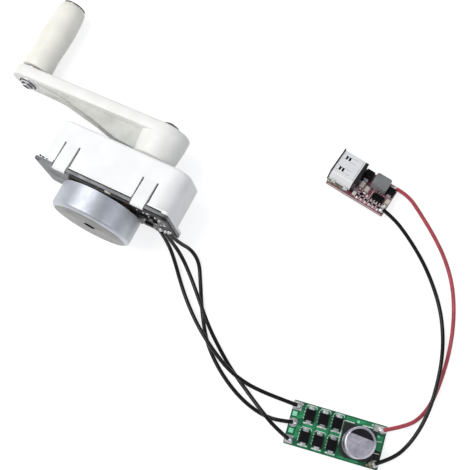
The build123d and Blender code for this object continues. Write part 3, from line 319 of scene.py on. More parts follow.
# the cup's steel painted darker on its face: painted shade
SHADED_FACE_STEEL = turned_metal("cup_face_painted_shade", (116, 115, 114), (142, 141, 140), 0.4, MOTOR_AXIS)
BRIGHT = shell_metal("bright_shell", (243, 243, 243), (251, 251, 251))
TIN = metal("tinned_leads", (190, 190, 192), (228, 228, 230), 0.3)
BRASS = metal("brass", (196, 160, 96), (218, 184, 120), 0.3)
COPPER = metal("enamelled_copper", (150, 74, 36), (188, 98, 52), 0.35, 0.004, 0.4)
LAMINATE = metal("laminated_iron", (82, 82, 86), (108, 108, 112), 0.5, 0.01, 0.4, (3, 0.2, 3))
MAGNET = metal("magnet", (44, 44, 46), (64, 64, 66), 0.55)
CAN = metal("can_aluminium", (180, 177, 190), (208, 205, 214), 0.36, 0.003, 1.4)
SOLDER = solder_metal("solder")
GREEN = circuit_board("green_mask", (7, 76, 48), (18, 110, 72), 0.01)
MAROON = circuit_board("maroon_mask", (98, 36, 50), (146, 78, 92), 0.01)
# near-black solder mask, darkened further as painted shade on the motor board's shaded underside; also
# the capacitor's painted shadow
DARK_MASK_AND_SHADE = circuit_board("dark_mask_and_painted_shade", (14, 9, 10), (32, 18, 20), 0.01, 0.5)
FERRITE = moulded_plastic("ferrite", (116, 117, 118), (142, 143, 144), 0.5, 0.02)
CERAMIC = moulded_plastic("beige_ceramic", (192, 180, 160), (220, 208, 188), 0.35, 0.006)
BLACK_WIRE = rubber("black_jacket", (3, 3, 4), (9, 9, 10), 0.32, 0.16)
RED_WIRE = rubber("red_jacket", (160, 54, 66), (186, 76, 86), 0.4, 0.34)
SILK = moulded_plastic("silkscreen", (222, 236, 228), (244, 249, 246), 0.6, 0.004)
PINK_SILK = moulded_plastic("pink_silkscreen", (214, 176, 184), (240, 216, 220), 0.6, 0.004)
MINT = moulded_plastic("mint_pad", (120, 214, 168), (172, 238, 204), 0.4, 0.004)
GREEN_TRACK = circuit_board("green_tracks", (26, 124, 78), (52, 158, 104), 0.01)
INK = moulded_plastic("can_ink", (14, 13, 18), (30, 28, 36), 0.5, 0.004, 0.2)
DULL_TIN = metal("dull_tin", (176, 172, 170), (216, 213, 210), 0.45, 0.01, 0.6)
BRIGHT_TIN = metal("bright_tin", (222, 220, 216), (244, 243, 240), 0.3, 0.006, 0.5)
FLUX = metal("tinned_flux", (112, 112, 92), (170, 168, 150), 0.42, 0.02, 0.7)
# near-black for painted shade in the roof's slots, the plate's gap and the cup's recess
HOLLOW = moulded_plastic("deep_shade", (3, 3, 4), (9, 9, 10), 0.9, 0.01, 0.02)
SEAM = moulded_plastic("stamped_seam", (96, 97, 100), (128, 129, 132), 0.5, 0.002)
PALE_CERAMIC = moulded_plastic("pale_ceramic", (214, 206, 196), (238, 232, 224), 0.4, 0.006)
FIBREGLASS = moulded_plastic("board_core", (206, 196, 196), (230, 222, 222), 0.6, 0.02, 0.3)

CAD_FINISH = {
    "gear_housing": WHITE, "crank_arm": CREAM, "handle_grip": IVORY,
    "crank_bushes": NYLON, "first_idler_gear": NYLON, "second_idler_gear": NYLON, "crank_gear": NYLON,
    "rotor_cup": CUP, "rotor_magnet": MAGNET, "rotor_shaft": STEEL, "motor_pinion": BRASS,
    "stator_core": LAMINATE, "stator_windings": COPPER, "bearing_tube": BRASS, "motor_bearings": STEEL,
    "base_plate": SHADED_PLATE, "motor_pcb": DARK_MASK_AND_SHADE, "motor_pcb_parts": CHIP, "phase_solder": SOLDER,
    "idler_pin": STEEL, "crank_shaft": STEEL, "crank_screw": STEEL, "handle_pin": STEEL,
    "handle_nut": STEEL, "handle_washer": STEEL, "rectifier_board": GREEN, "rectifier_diodes": CHIP,
    "diode_leads": TIN, "capacitor_base": BLACK, "capacitor_can": CAN, "rectifier_solder": SOLDER,
    "usb_board": MAROON, "usb_shell": BRIGHT, "usb_tongue": BLACK, "usb_contacts": BRASS,
    "inductor": FERRITE, "power_diodes": CHIP, "ceramic_capacitors": CERAMIC, "converter_chip": CHIP,
    "chip_pins": TIN, "chip_resistors": CHIP, "usb_solder": SOLDER,
}
for node_name, finish in CAD_FINISH.items():
    solid = frame["nodes"][node_name]
    solid.data.materials.clear()
    solid.data.materials.append(finish)


# ---- wires ----
def wire(name, route, finish):
    """A wire on a smooth line through the room of its route, soldered at both ends."""
    curve = bpy.data.curves.new(name, "CURVE")
    curve.dimensions = "3D"
    spline = curve.splines.new("NURBS")
    spline.points.add(len(route) - 1)
    for point, place in zip(spline.points, route):
        point.co = [c * MM for c in place] + [1.0]
    spline.order_u = 3
    spline.use_endpoint_u = True
    spline.resolution_u = 12
    curve.bevel_depth = WIRE_DIAMETER / 2 * MM
    curve.bevel_resolution = 4
    curve.use_fill_caps = True
    curve.materials.append(finish)
    piece = bpy.data.objects.new(name, curve)
    bpy.context.scene.collection.objects.link(piece)
    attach(piece, "base")
    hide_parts(name.replace("_lead", "_wire"))


wire("phase_lead_a", PHASE_WIRE_A, BLACK_WIRE)
wire("phase_lead_b", PHASE_WIRE_B, BLACK_WIRE)
wire("phase_lead_c", PHASE_WIRE_C, BLACK_WIRE)
wire("positive_lead", POSITIVE_WIRE, RED_WIRE)
wire("negative_lead", NEGATIVE_WIRE, BLACK_WIRE)


# ---- small pieces, drawn in mesh code in millimetres on the frames above ----
def circle(x, y, radius, count=32, start=0.0, end=360.0):
    """Points round a centre; a part circle holds both its ends."""
    steps = count if end - start >= 360 else count - 1
    angles = [math.radians(start + (end - start) * k / steps) for k in range(count)]
    return [(x + radius * math.cos(a), y + radius * math.sin(a)) for a in angles]


def box_outline(x, y, length, width, turn=0.0):
    c, s = math.cos(math.radians(turn)), math.sin(math.radians(turn))
    half = ((-length / 2, -width / 2), (length / 2, -width / 2),
            (length / 2, width / 2), (-length / 2, width / 2))
    return [(x + u * c - v * s, y + u * s + v * c) for u, v in half]


def drawn_in(outline, distance):
    """A convex outline with every corner moved toward the middle."""
    middle = Vector((sum(p[0] for p in outline), sum(p[1] for p in outline))) / len(outline)
    moved_in = []
    for point in outline:
        inward = middle - Vector(point)
        moved_in.append(tuple(Vector(point) + inward.normalized() * min(distance, inward.length * 0.9)))
    return moved_in


HEAP_ROWS = 7
HEAP_SIDES = 20
HEAP_SWELL = 0.22      # how far the rim wanders, as a share of its radius
HEAP_WAVES = 0.12      # the same for the height
SHARP_FROM = 50        # degrees between faces that keep their edge in a softened piece


class Piece:
    """One visible piece, made of several simple skins."""

    def __init__(self, place):
        self.place = place
        self.mesh = bmesh.new()

    def vertex(self, x, y, z):
        return self.mesh.verts.new(self.place @ (Vector((x, y, z)) * MM))

    def skin(self, rows, loop=False):
        """Quads between closed rows of points; lids on the first and last row, or a loop of rows."""
        rows = [[self.vertex(*point) for point in row] for row in rows]
        pairs = list(zip(rows, rows[1:]))
        if loop:
            pairs.append((rows[-1], rows[0]))
        for low, high in pairs:
            for k in range(len(low)):
                after = (k + 1) % len(low)
                self.mesh.faces.new((low[k], low[after], high[after], high[k]))
        if not loop:
            self.mesh.faces.new(list(reversed(rows[0])))
            self.mesh.faces.new(rows[-1])

    def prism(self, outline, bottom, top, edge=0.0):
        """Upright prism; edge rounds the upper rim a little."""
        levels = [(outline, bottom), (outline, top - edge)]
        if edge > 0:
            levels.append((drawn_in(outline, edge * 0.4), top - edge * 0.3))
            levels.append((drawn_in(outline, edge * 1.2), top))
        self.skin([[(x, y, z) for x, y in points] for points, z in levels])

    def block(self, x, y, length, width, bottom, top, edge=0.0, turn=0.0):
        self.prism(box_outline(x, y, length, width, turn), bottom, top, edge)

    def lathe(self, x, y, profile, count):
        """Revolved profile of (radius, height) points."""
        self.skin([[(px, py, z) for px, py in circle(x, y, radius, count)] for radius, z in profile])

    def tube(self, x, y, outer, inner, bottom, top, count):
        corners = ((outer, bottom), (outer, top), (inner, top), (inner, bottom))
        self.skin([[(px, py, z) for px, py in circle(x, y, r, count)] for r, z in corners], loop=True)

    def heap(self, x, y, level, radius, height, seed, up=1, long=1.0):
        """Solder that has flowed: uneven rim, hollow flanks, rounded crown; long stretches it in x."""
        rows = []
        for k in range(HEAP_ROWS):
            rise = k / HEAP_ROWS * math.pi / 2
            row = []
            for px, py in circle(0, 0, 1, HEAP_SIDES):
                spot = Vector((px * 0.9, py * 0.9, seed * 3.7 + k * 0.12))
                swell = 1 + HEAP_SWELL * noise.noise(spot)
                reach = radius * swell * math.cos(rise) ** 1.25
                waves = 1 + HEAP_WAVES * noise.noise(Vector((px, py, seed + 9)))
                lift = height * math.sin(rise) ** 1.15 * waves
                row.append((x + px * reach * long, y + py * reach, level + up * lift))
            rows.append(row)
        self.skin(rows)

    def strap(self, x, y, heading, profile, width, thickness):
        """Bent strip of sheet metal: profile holds (reach, height) points along heading degrees."""
        c, s = math.cos(math.radians(heading)), math.sin(math.radians(heading))
        rows = []
        for k, (reach, z) in enumerate(profile):
            before, after = profile[max(k - 1, 0)], profile[min(k + 1, len(profile) - 1)]
            along = Vector((after[0] - before[0], after[1] - before[1])).normalized()
            row = []
            for side, lift in ((-1, -1), (1, -1), (1, 1), (-1, 1)):
                r = reach - along.y * lift * thickness / 2
                h = z + along.x * lift * thickness / 2
                across = side * width / 2
                row.append((x + r * c - across * s, y + r * s + across * c, h))
            rows.append(row)
        self.skin(rows)

    def line(self, start, end, width, level, thickness=0.04):
        """Thin printed or engraved stroke."""
        run = Vector(end) - Vector(start)
        middle = (Vector(start) + Vector(end)) / 2
        self.block(middle.x, middle.y, run.length, width, level, level + thickness,
                   turn=math.degrees(math.atan2(run.y, run.x)))

    def finish(self, name, finish, slot, body="base", replaces=(), smooth=False, creased=False):
        """Make the object; smooth shades all of it round, creased keeps its sharp edges."""
        bmesh.ops.recalc_face_normals(self.mesh, faces=self.mesh.faces)
        mesh = bpy.data.meshes.new(name)
        self.mesh.to_mesh(mesh)
        self.mesh.free()
        mesh.materials.append(finish)
        piece = bpy.data.objects.new(name, mesh)
        bpy.context.scene.collection.objects.link(piece)
        if smooth or creased:
            mesh.shade_smooth()
        if creased:
            mesh.set_sharp_from_angle(angle=math.radians(SHARP_FROM))
        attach(piece, body)
        if replaces:
            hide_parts(*replaces)


BUMP = 0.03        # how deep a piece is sunk into what carries it

# ---- levels on both boards ----
TOP = BOARD_TOP - BUMP
PRINT_LEVEL = BOARD_TOP + 0.02
TRACK_LEVEL = BOARD_TOP + 0.025
SHADOW_PATCH_LEVEL = BOARD_TOP + 0.04
LAND_LEVEL = BOARD_TOP + 0.05
PAD_LEVEL = BOARD_TOP + 0.06
DOT_LEVEL = BOARD_TOP + 0.08
PAD_EDGE = 0.02

# ---- rectifier board ----
DIODE_COLUMNS = (-11.4, -5.9, -0.4)
DIODE_ROWS = (4.3, -4.3)
PHASE_LANDS = ((-17.0, 6.6), (-17.0, 0.0), (-17.0, -6.6))
OUTPUT_LANDS = ((17.0, 6.6), (17.0, -6.6))


def rectifier_lands():
    """Tinned copper round the solder joints."""
    lands = Piece(ON_RECTIFIER)
    lands.block(-16.9, 6.6, 3.4, 3.4, TOP, LAND_LEVEL, PAD_EDGE)
    lands.prism(circle(-17.0, 0.0, 1.75), TOP, LAND_LEVEL)
    lands.block(-17.0, -6.6, 3.2, 3.2, TOP, LAND_LEVEL, PAD_EDGE)
    lands.block(16.0, 6.9, 4.6, 2.6, TOP, LAND_LEVEL, PAD_EDGE)
    lands.block(16.8, -6.7, 2.4, 2.2, TOP, PAD_LEVEL, PAD_EDGE)
    lands.finish("rectifier_lands", DULL_TIN, "solder")


def rectifier_joints():
    joints = Piece(ON_RECTIFIER)
    for seed, (x, y) in enumerate(PHASE_LANDS + OUTPUT_LANDS):
        joints.heap(x, y, TOP, 1.55, 1.05, seed + 1, long=1.1)
        joints.heap(x + (0.9 if x < 0 else -0.9), y + 0.5, TOP, 0.8, 0.4, seed + 7)
    joints.finish("rectifier_joints", SOLDER, "solder", replaces=("rectifier_solder",), smooth=True)


def signal_pads():
    """Two bare pads between the phase wires and small test dots at the output end."""
    pads = Piece(ON_RECTIFIER)
    for x, y in ((-17.2, 3.4), (-17.0, -3.2)):
        pads.block(x, y, 1.8, 1.8, TOP, PAD_LEVEL, PAD_EDGE)
    for x, y, radius in ((16.1, 3.9, 0.5), (7.3, 7.2, 0.6), (13.2, 3.0, 0.3)):
        pads.prism(circle(x, y, radius, 16), TOP, DOT_LEVEL)
    pads.finish("signal_pads", MINT, "green_board")


def diode_wings():
    """Formed terminals: out of the body at half height, down, and outward on the board."""
    wings, joints = Piece(ON_RECTIFIER), Piece(ON_RECTIFIER)
    shape = [(2.1, 2.75), (2.45, 2.72), (2.6, 2.55), (2.66, 1.95), (2.8, 1.76), (3.25, 1.72)]
    for column in DIODE_COLUMNS:
        for row in DIODE_ROWS:
            for side, heading in ((1, 90), (-1, -90)):
                wings.strap(column, row, heading, shape, 2.1, 0.24)
                joints.heap(column, row + side * 3.05, TOP, 0.62, 0.36, column + row + side, long=2.0)
    wings.finish("diode_wings", TIN, "tinned_steel", replaces=("diode_leads",))
    joints.finish("diode_joints", SOLDER, "solder", smooth=True)


def rectifier_tracks():
    """Wide copper areas that show lighter through the lacquer."""
    tracks = Piece(ON_RECTIFIER)
    for column in DIODE_COLUMNS:
        tracks.block(column + 0.2, 7.55, 4.0, 1.4, TOP, TRACK_LEVEL)
        tracks.block(column + 0.2, 0.0, 4.1, 1.9, TOP, TRACK_LEVEL)
        tracks.block(column + 2.6, 0.2, 0.8, 12.6, TOP, TRACK_LEVEL)
        tracks.block(column + 0.2, -7.55, 4.0, 1.0, TOP, TRACK_LEVEL)
    tracks.prism([(-15.2, 5.4), (-13.6, 5.9), (-13.6, 2.6), (-16.0, 1.7), (-16.0, 2.3)], TOP, TRACK_LEVEL)
    tracks.prism([(-15.2, -0.6), (-13.6, -0.4), (-13.6, -5.9), (-15.4, -5.4)], TOP, TRACK_LEVEL)
    tracks.block(8.2, 7.4, 11.6, 1.5, TOP, TRACK_LEVEL)
    tracks.block(6.6, -7.7, 8.4, 0.8, TOP, TRACK_LEVEL)
    tracks.block(16.8, 0.6, 2.6, 7.6, TOP, TRACK_LEVEL)
    tracks.finish("rectifier_tracks", GREEN_TRACK, "green_board")


def rectifier_print():
    """White printed frames round the diodes and beside the capacitor; no lettering."""
    ink = Piece(ON_RECTIFIER)
    for column in DIODE_COLUMNS:
        for row in DIODE_ROWS:
            ink.line((column - 1.7, row + 3.75), (column + 1.8, row + 3.75), 0.24, PRINT_LEVEL)
            ink.line((column - 2.2, row + 2.9), (column - 1.6, row + 3.7), 0.2, PRINT_LEVEL)
            ink.line((column + 2.2, row + 2.9), (column + 1.8, row + 3.7), 0.2, PRINT_LEVEL)
            for k in range(4):
                y = row - 1.9 + k * 1.25
                ink.line((column - 2.25, y), (column - 2.25, y + 0.7), 0.26, PRINT_LEVEL)
            foot = -3.3 if row > 0 else -3.2
            ink.line((column - 1.9, row + foot), (column + 1.9, row + foot), 0.42, PRINT_LEVEL)
    ink.line((1.75, -3.2), (1.75, 6.3), 0.4, PRINT_LEVEL)
    ink.line((1.75, 6.3), (6.0, 6.3), 0.4, PRINT_LEVEL)
    ink.line((9.2, 6.35), (13.4, 6.45), 0.4, PRINT_LEVEL)
    ink.line((15.9, 2.0), (17.7, 2.2), 0.3, PRINT_LEVEL)
    ink.line((15.6, -2.6), (17.9, -2.5), 0.24, PRINT_LEVEL)
    ink.finish("rectifier_print", SILK, "green_board")


def capacitor_painted_shadow():
    """Painted shadow of the capacitor on the board between it and the negative pad, with a dull lump of
    solder in it.
    """
    dark = Piece(ON_RECTIFIER)
    # dark patch: painted shadow of the capacitor
    painted_shadow = [(13.4, -8.3), (18.3, -8.3), (18.3, -1.6), (16.2, -1.2), (14.6, -3.2)]
    dark.prism(painted_shadow, TOP, SHADOW_PATCH_LEVEL)
    dark.finish("capacitor_painted_shadow", DARK_MASK_AND_SHADE, "green_board")
    lump = Piece(ON_RECTIFIER)
    lump.heap(16.2, -6.9, BOARD_TOP, 1.5, 0.9, 71, long=1.2)
    lump.heap(14.4, -7.6, BOARD_TOP, 0.7, 0.4, 72)
    lump.finish("output_lump", FLUX, "solder", smooth=True)


def rectifier_dots():
    dots = Piece(ON_RECTIFIER)
    spots = ((16.0, 7.3, 0.55), (12.9, 7.6, 0.45), (-15.0, 7.6, 0.3), (14.9, -4.3, 0.35))
    for seed, (x, y, radius) in enumerate(spots):
        dots.heap(x, y, BOARD_TOP, radius, 0.25, seed + 3)
    dots.finish("rectifier_dots", SOLDER, "solder", smooth=True)


CAN_PLACE = (8.7, -0.9)
CAN_TOP = 12.5
CAN_RADIUS = 6.0
SEAL_LOW, SEAL_HIGH = 2.88, 3.35


def capacitor_details():
    """Dark half moon that marks the negative side, and the rim of the rubber seal under the can."""
    mark = Piece(ON_RECTIFIER)
    turn = 85.0
    radius, chord = CAN_RADIUS - 0.85, 2.2
    spread = math.degrees(math.acos(chord / radius))
    outline = circle(*CAN_PLACE, radius, 28, turn - spread, turn + spread)
    mark.prism(outline, CAN_TOP - 0.02, CAN_TOP + 0.03)
    mark.finish("capacitor_mark", INK, "black_plastic")
    seal = Piece(ON_RECTIFIER)
    seal.tube(*CAN_PLACE, CAN_RADIUS + 0.12, CAN_RADIUS - 0.5, SEAL_LOW, SEAL_HIGH, 48)
    seal.finish("capacitor_seal", BLACK, "black_plastic", smooth=True)


# ---- step-down board ----
SHELL_TOP = 7.3
SHELL_FRONT = -13.8
SHELL_SIDE = 6.55
WINDOWS = (3.2, -3.2)
MARK_LEVEL = SHELL_TOP - 0.01
MARK_HEIGHT = 0.03
SPRING_TOP = 7.36


def socket_mouth():
    """Dark flared rim round the mouth, painted as shade."""
    mouth = Piece(ON_USB)
    x = SHELL_FRONT + 0.25
    mouth.block(x, 0, 0.55, 2 * SHELL_SIDE + 0.5, SHELL_TOP - 0.3, SHELL_TOP + 0.3, 0.1)
    mouth.block(x, 0, 0.5, 2 * SHELL_SIDE - 0.4, TOP, BOARD_TOP + 0.35)
    for side in (-1, 1):
        mouth.block(x, side * (SHELL_SIDE + 0.05), 0.5, 0.3, BOARD_TOP, SHELL_TOP - 0.2)
    mouth.finish("socket_mouth", PAINTED_SHADE_STEEL, "tinned_steel")


def shell_seams():
    """Outlines of the two springs in the roof, and the fold across it."""
    marks = Piece(ON_USB)
    for window in WINDOWS:
        for side in (-1, 1):
            y = window + side * 1.15
            marks.line((-9.2, y), (-6.4, y), 0.12, MARK_LEVEL, MARK_HEIGHT)
            marks.line((-12.9, y), (-11.5, y), 0.12, MARK_LEVEL, MARK_HEIGHT)
        marks.line((-11.45, window - 1.2), (-11.45, window + 1.2), 0.14, MARK_LEVEL, MARK_HEIGHT)
    marks.line((-4.2, -5.9), (-4.2, 5.9), 0.12, MARK_LEVEL, MARK_HEIGHT)
    marks.finish("shell_seams", SEAM, "tinned_steel")


def window_springs():
    """Bright spring tongue in each window of the roof, with painted shade in the gap before and behind
    it.
    """
    springs, slots = Piece(ON_USB), Piece(ON_USB)
    shape = [(0, SHELL_TOP), (0.12, SPRING_TOP), (0.38, SPRING_TOP), (0.5, SHELL_TOP)]
    for y in WINDOWS:
        springs.strap(-10.65, y, 0, shape, 1.9, 0.1)
        for x in (-11.06, -9.74):
            slots.block(x, y, 0.85, 1.95, SHELL_TOP - 0.5, SHELL_TOP + 0.02, 0.01)
    springs.finish("window_springs", BRIGHT, "tinned_steel", smooth=True)
    slots.finish("window_slots", HOLLOW, "black_plastic")


def shell_legs():
    legs, joints = Piece(ON_USB), Piece(ON_USB)
    for side in (-1, 1):
        for seed, x in enumerate((-10.9, -5.2)):
            legs.block(x, side * (SHELL_SIDE + 0.1), 1.6, 0.3, TOP, BOARD_TOP + 2.2, 0.05)
            joints.heap(x, side * (SHELL_SIDE + 0.4), TOP, 0.62, 1.2, seed + side, long=2.0)
    legs.finish("shell_legs", TIN, "tinned_steel")
    joints.finish("shell_joints", SOLDER, "solder", smooth=True)


def shell_lands():
    """Strip of flux and uneven solder along each side of the socket."""
    strip = Piece(ON_USB)
    lumps = ((-12.3, 0.8, 0.7), (-11.2, 0.9, 1.0), (-9.4, 0.6, 0.5), (-7.3, 0.5, 0.4))
    for side in (-1, 1):
        strip.block(-8.5, side * 7.2, 9.2, 1.2, TOP, PAD_LEVEL, PAD_EDGE)
        for seed, (x, radius, height) in enumerate(lumps):
            strip.heap(x, side * 7.1, TOP, radius, height, seed + 60 + side, long=1.3)
    strip.finish("shell_lands", FLUX, "solder")


def usb_board_core():
    """Pale fibreglass that shows in the cut edges of the board."""
    core = Piece(ON_USB)
    for side in (-1, 1):
        core.block(0, side * (USB_WIDTH / 2 - BUMP), 25.0, 0.12, 0.5, 1.0, 0.02)
    core.finish("usb_board_core", FIBREGLASS, "maroon_board")


def usb_joints():
    joints = Piece(ON_USB)
    for seed, side in enumerate((-1, 1)):
        joints.heap(11.9, side * 6.4, TOP, 1.15, 0.95, seed + 4, long=1.15)
    joints.finish("usb_joints", SOLDER, "solder", replaces=("usb_solder",), smooth=True)


def usb_lands():
    lands = Piece(ON_USB)
    pads = ((12.0, 6.4, 2.2, 2.6), (12.0, -6.4, 2.2, 2.6), (10.4, 6.6, 1.0, 1.6),
            (12.3, -4.2, 1.5, 0.9), (-1.5, 0.9, 1.2, 1.4), (-1.4, -4.2, 1.8, 1.6))
    for x, y, length, width in pads:
        lands.block(x, y, length, width, TOP, PAD_LEVEL, PAD_EDGE)
    lands.finish("usb_lands", DULL_TIN, "solder")


def power_tabs():
    """Terminals of the two moulded diodes and the inductor's folded feet."""
    tabs = Piece(ON_USB)
    shape = [(0, 2.6), (0.25, 2.58), (0.38, 2.4), (0.4, 1.85), (0.55, 1.68), (0.95, 1.66)]
    tabs.strap(-0.15, 2.85, -90, shape, 2.0, 0.2)
    tabs.strap(-0.15, 7.15, 90, shape, 2.0, 0.2)
    tabs.strap(11.2, 1.75, -90, shape, 1.8, 0.2)
    tabs.strap(11.2, 5.05, 90, shape, 1.8, 0.2)
    for side in (-1, 1):
        tabs.block(6.0, 3.7 + side * 3.42, 4.2, 0.16, TOP, BOARD_TOP + 1.5)
    tabs.finish("power_tabs", TIN, "tinned_steel")


CHIP_PLACE = (8.0, -2.7)
PIN_PITCH = 1.27
CERAMICS = ((-0.2, -0.9), (2.4, -1.8), (12.1, -2.0))
RESISTORS = tuple((0.6 + 1.9 * k, -6.3) for k in range(6))


def end_caps():
    """Plated ends of the ceramic capacitors and the small resistors, with a little solder at each."""
    caps, joints = Piece(ON_USB), Piece(ON_USB)
    for seed, (x, y) in enumerate(CERAMICS):
        for side in (-1, 1):
            caps.block(x, y + side * 1.34, 1.78, 0.62, TOP, BOARD_TOP + 1.26, 0.08)
            joints.heap(x, y + side * 1.7, TOP, 0.42, 0.5, seed + side, long=1.9)
    for seed, (x, y) in enumerate(RESISTORS):
        for side in (-1, 1):
            caps.block(x, y + side * 0.68, 0.96, 0.42, TOP, BOARD_TOP + 0.56, 0.05)
            joints.heap(x, y + side * 0.95, TOP, 0.3, 0.3, seed + 20 + side, long=1.5)
    caps.finish("end_caps", BRIGHT_TIN, "tinned_steel")
    joints.finish("cap_joints", SOLDER, "solder", smooth=True)


def small_parts():
    """Loose change of the converter: light resistors and capacitors in the free places."""
    bodies = Piece(ON_USB)
    bodies.block(-1.1, -6.3, 1.5, 1.9, TOP, BOARD_TOP + 0.7, 0.06)
    bodies.block(3.9, -4.3, 0.8, 1.3, TOP, BOARD_TOP + 0.5, 0.05)
    bodies.block(11.6, -4.7, 1.6, 0.8, TOP, BOARD_TOP + 0.5, 0.05)
    bodies.finish("cream_parts", PALE_CERAMIC, "beige_ceramic")
    dark = Piece(ON_USB)
    dark.block(-1.4, 1.9, 0.9, 1.5, TOP, BOARD_TOP + 0.45, 0.05)
    dark.block(1.5, -4.6, 1.4, 0.8, TOP, BOARD_TOP + 0.45, 0.05)
    dark.finish("dark_parts", CHIP, "black_plastic")


def chip_wings():
    pins = Piece(ON_USB)
    shape = [(1.6, 2.5), (1.85, 2.48), (1.97, 2.3), (2.02, 1.8), (2.15, 1.68), (2.6, 1.66)]
    for k in range(4):
        x = CHIP_PLACE[0] + (k - 1.5) * PIN_PITCH
        for heading in (90, -90):
            pins.strap(x, CHIP_PLACE[1], heading, shape, 0.44, 0.16)
    pins.finish("chip_wings", BRIGHT_TIN, "tinned_steel", replaces=("chip_pins",))


def usb_print():
    """Pale printed frames round the parts; no lettering."""
    ink = Piece(ON_USB)
    for x, y in RESISTORS:
        ink.line((x + 0.95, y - 1.0), (x + 0.95, y + 1.0), 0.42, PRINT_LEVEL)
        ink.line((x - 0.5, y - 1.45), (x + 0.5, y - 1.45), 0.3, PRINT_LEVEL)
        ink.line((x - 0.5, y + 1.5), (x + 0.5, y + 1.5), 0.3, PRINT_LEVEL)
    ink.line((-2.0, -4.3), (1.0, -4.1), 0.5, PRINT_LEVEL)
    ink.line((-0.4, -7.5), (10.6, -7.5), 0.22, PRINT_LEVEL)
    for x in (4.95, 11.0):
        ink.line((x, -4.6), (x, -0.6), 0.36, PRINT_LEVEL)
    for k in range(6):
        ink.line((4.9 + 1.1 * k, 0.1), (5.4 + 1.1 * k, 0.6), 0.3, PRINT_LEVEL)
        ink.line((12.6, -0.4 + 0.9 * k), (13.1, -0.4 + 0.9 * k), 0.3, PRINT_LEVEL)
    ink.line((4.2, -0.35), (10.9, -0.35), 0.22, PRINT_LEVEL)
    for x, y in CERAMICS[:2]:
        for side in (-1, 1):
            ink.line((x + side * 1.15, y - 2.0), (x + side * 1.15, y + 2.0), 0.2, PRINT_LEVEL)
    for k in range(5):
        ink.line((4.6 + 0.5 * k, -4.9 + 0.1 * k), (4.8 + 0.5 * k, -4.4), 0.2, PRINT_LEVEL)
    ink.finish("usb_print", PINK_SILK, "maroon_board")


# ---- geared unit: z runs along the motor's axis, from the cup's face into the housing ----
BOARD_FACE = 11.9
LIP_HALF_WIDTH = 12.6
SEAM_DEPTH = 0.06
GLUE_LEVEL = 11.5      # above the motor's axis
FACE_RADIUS = 15.4
PHASE_PADS = ((25.0, 4.8), (27.3, 4.0), (29.3, 2.6))


def phase_joints():
    joints = Piece(ON_UNIT)
    for seed, (x, y) in enumerate(PHASE_PADS):
        joints.heap(x, y, BOARD_FACE + BUMP, 0.95, 1.3, seed + 2, up=-1, long=1.15)
    joints.finish("phase_joints", SOLDER, "solder", replaces=("phase_solder",), smooth=True)


def board_specks():
    """Bright joints of the small parts on the motor board."""
    specks = Piece(ON_UNIT)
    spots = ((17.6, -9.6), (20.4, -9.4), (22.4, -10.2), (22.0, -6.3), (25.6, -9.4), (27.3, -8.2),
             (28.9, -6.6), (26.3, -6.0), (28.3, -3.4), (22.7, -1.9), (26.6, -2.2), (18.0, 1.5),
             (21.9, 6.4), (24.0, -0.6))
    for seed, (x, y) in enumerate(spots):
        specks.heap(x, y, BOARD_FACE + BUMP, 0.28 + 0.14 * (seed % 3), 0.3, seed + 30, up=-1, long=1.2)
    specks.finish("board_specks", SOLDER, "solder", smooth=True)


def glue_drop():
    """Pale glue on the upper edge of the motor board and plate."""
    glue = Piece(ON_UNIT @ turn_about("X", 90))
    for seed, (x, z, radius) in enumerate(((4.2, 12.9, 0.8), (5.4, 12.6, 0.5), (0.2, 13.2, 0.45))):
        glue.heap(x, z, GLUE_LEVEL, radius, 0.7, seed + 50, long=1.4)
    glue.finish("glue_drop", PALE_CERAMIC, "white_plastic", smooth=True)


def plate_gap_shade():
    """Painted shade in the gap between the plate and the lip of the housing, broken at the clips."""
    seam = Piece(ON_UNIT)
    gaps = ((0.0, 28.2, 14.12, 14.55), (24.6, 6.6, 14.12, 14.55),
            (-27.0, 0.9, 14.3, 14.9), (-25.6, 1.2, 14.2, 14.7), (-23.9, 1.0, 14.2, 14.6))
    for side in (-1, 1):
        for x, length, low, high in gaps:
            seam.block(x, side * LIP_HALF_WIDTH, length, SEAM_DEPTH, low, high)
    seam.finish("plate_gap_shade", HOLLOW, "black_plastic")


ARM_TURN = -0.92
ON_ARM = ON_UNIT @ moved(CRANK_X, 0, 0) @ turn_about("Z", ARM_TURN)
HUB_LOW, HUB_STEP, ARM_LOW, ARM_HIGH = 34.1, 42.1, 43.3, 48.3
HUB_RADIUS, EYE_RADIUS, EYE_X = 9.7, 7.4, -65.5
GRIP_LOW, GRIP_HIGH = 49.6, 81.8
WEB_HALF = 5.2         # half the width over both ribs
RIB_HALF = 0.9
RIB_FLAT = 0.6         # half the width of a rib's flat crest
RIB_ROUND = 0.35


def arm_outline(inset):
    """Two circles joined by their tangents."""
    big, small = HUB_RADIUS - inset, EYE_RADIUS - inset
    lean = math.degrees(math.asin((big - small) / -EYE_X))
    hub_side = circle(0, 0, big, 40, -90 - lean, 90 + lean)
    return hub_side + circle(EYE_X, 0, small, 32, 90 + lean, 270 - lean)


def crank_web():
    """Two ribs under the arm that deepen toward the hub, in cream plastic painted darker as painted
    shade.
    """
    side = [(-59.5, ARM_LOW + 0.6), (-59.0, ARM_LOW - 0.15), (-48.0, 42.3), (-30.0, 38.9),
            (-17.0, 35.4), (-7.0, 34.6), (0.0, 34.6), (0.0, ARM_LOW + 0.6)]
    crest = ((-RIB_HALF, RIB_ROUND), (-RIB_FLAT, 0.0), (RIB_FLAT, 0.0), (RIB_HALF, RIB_ROUND))
    web = Piece(ON_ARM)
    for middle in (-WEB_HALF + RIB_HALF, WEB_HALF - RIB_HALF):
        rows = []
        for offset, draw in crest:
            rows.append([(x, middle + offset, z + draw if z < ARM_LOW else z) for x, z in side])
        web.skin(rows)
    web.finish("crank_web", SHADED_WEB, "cream_plastic", body="crank")


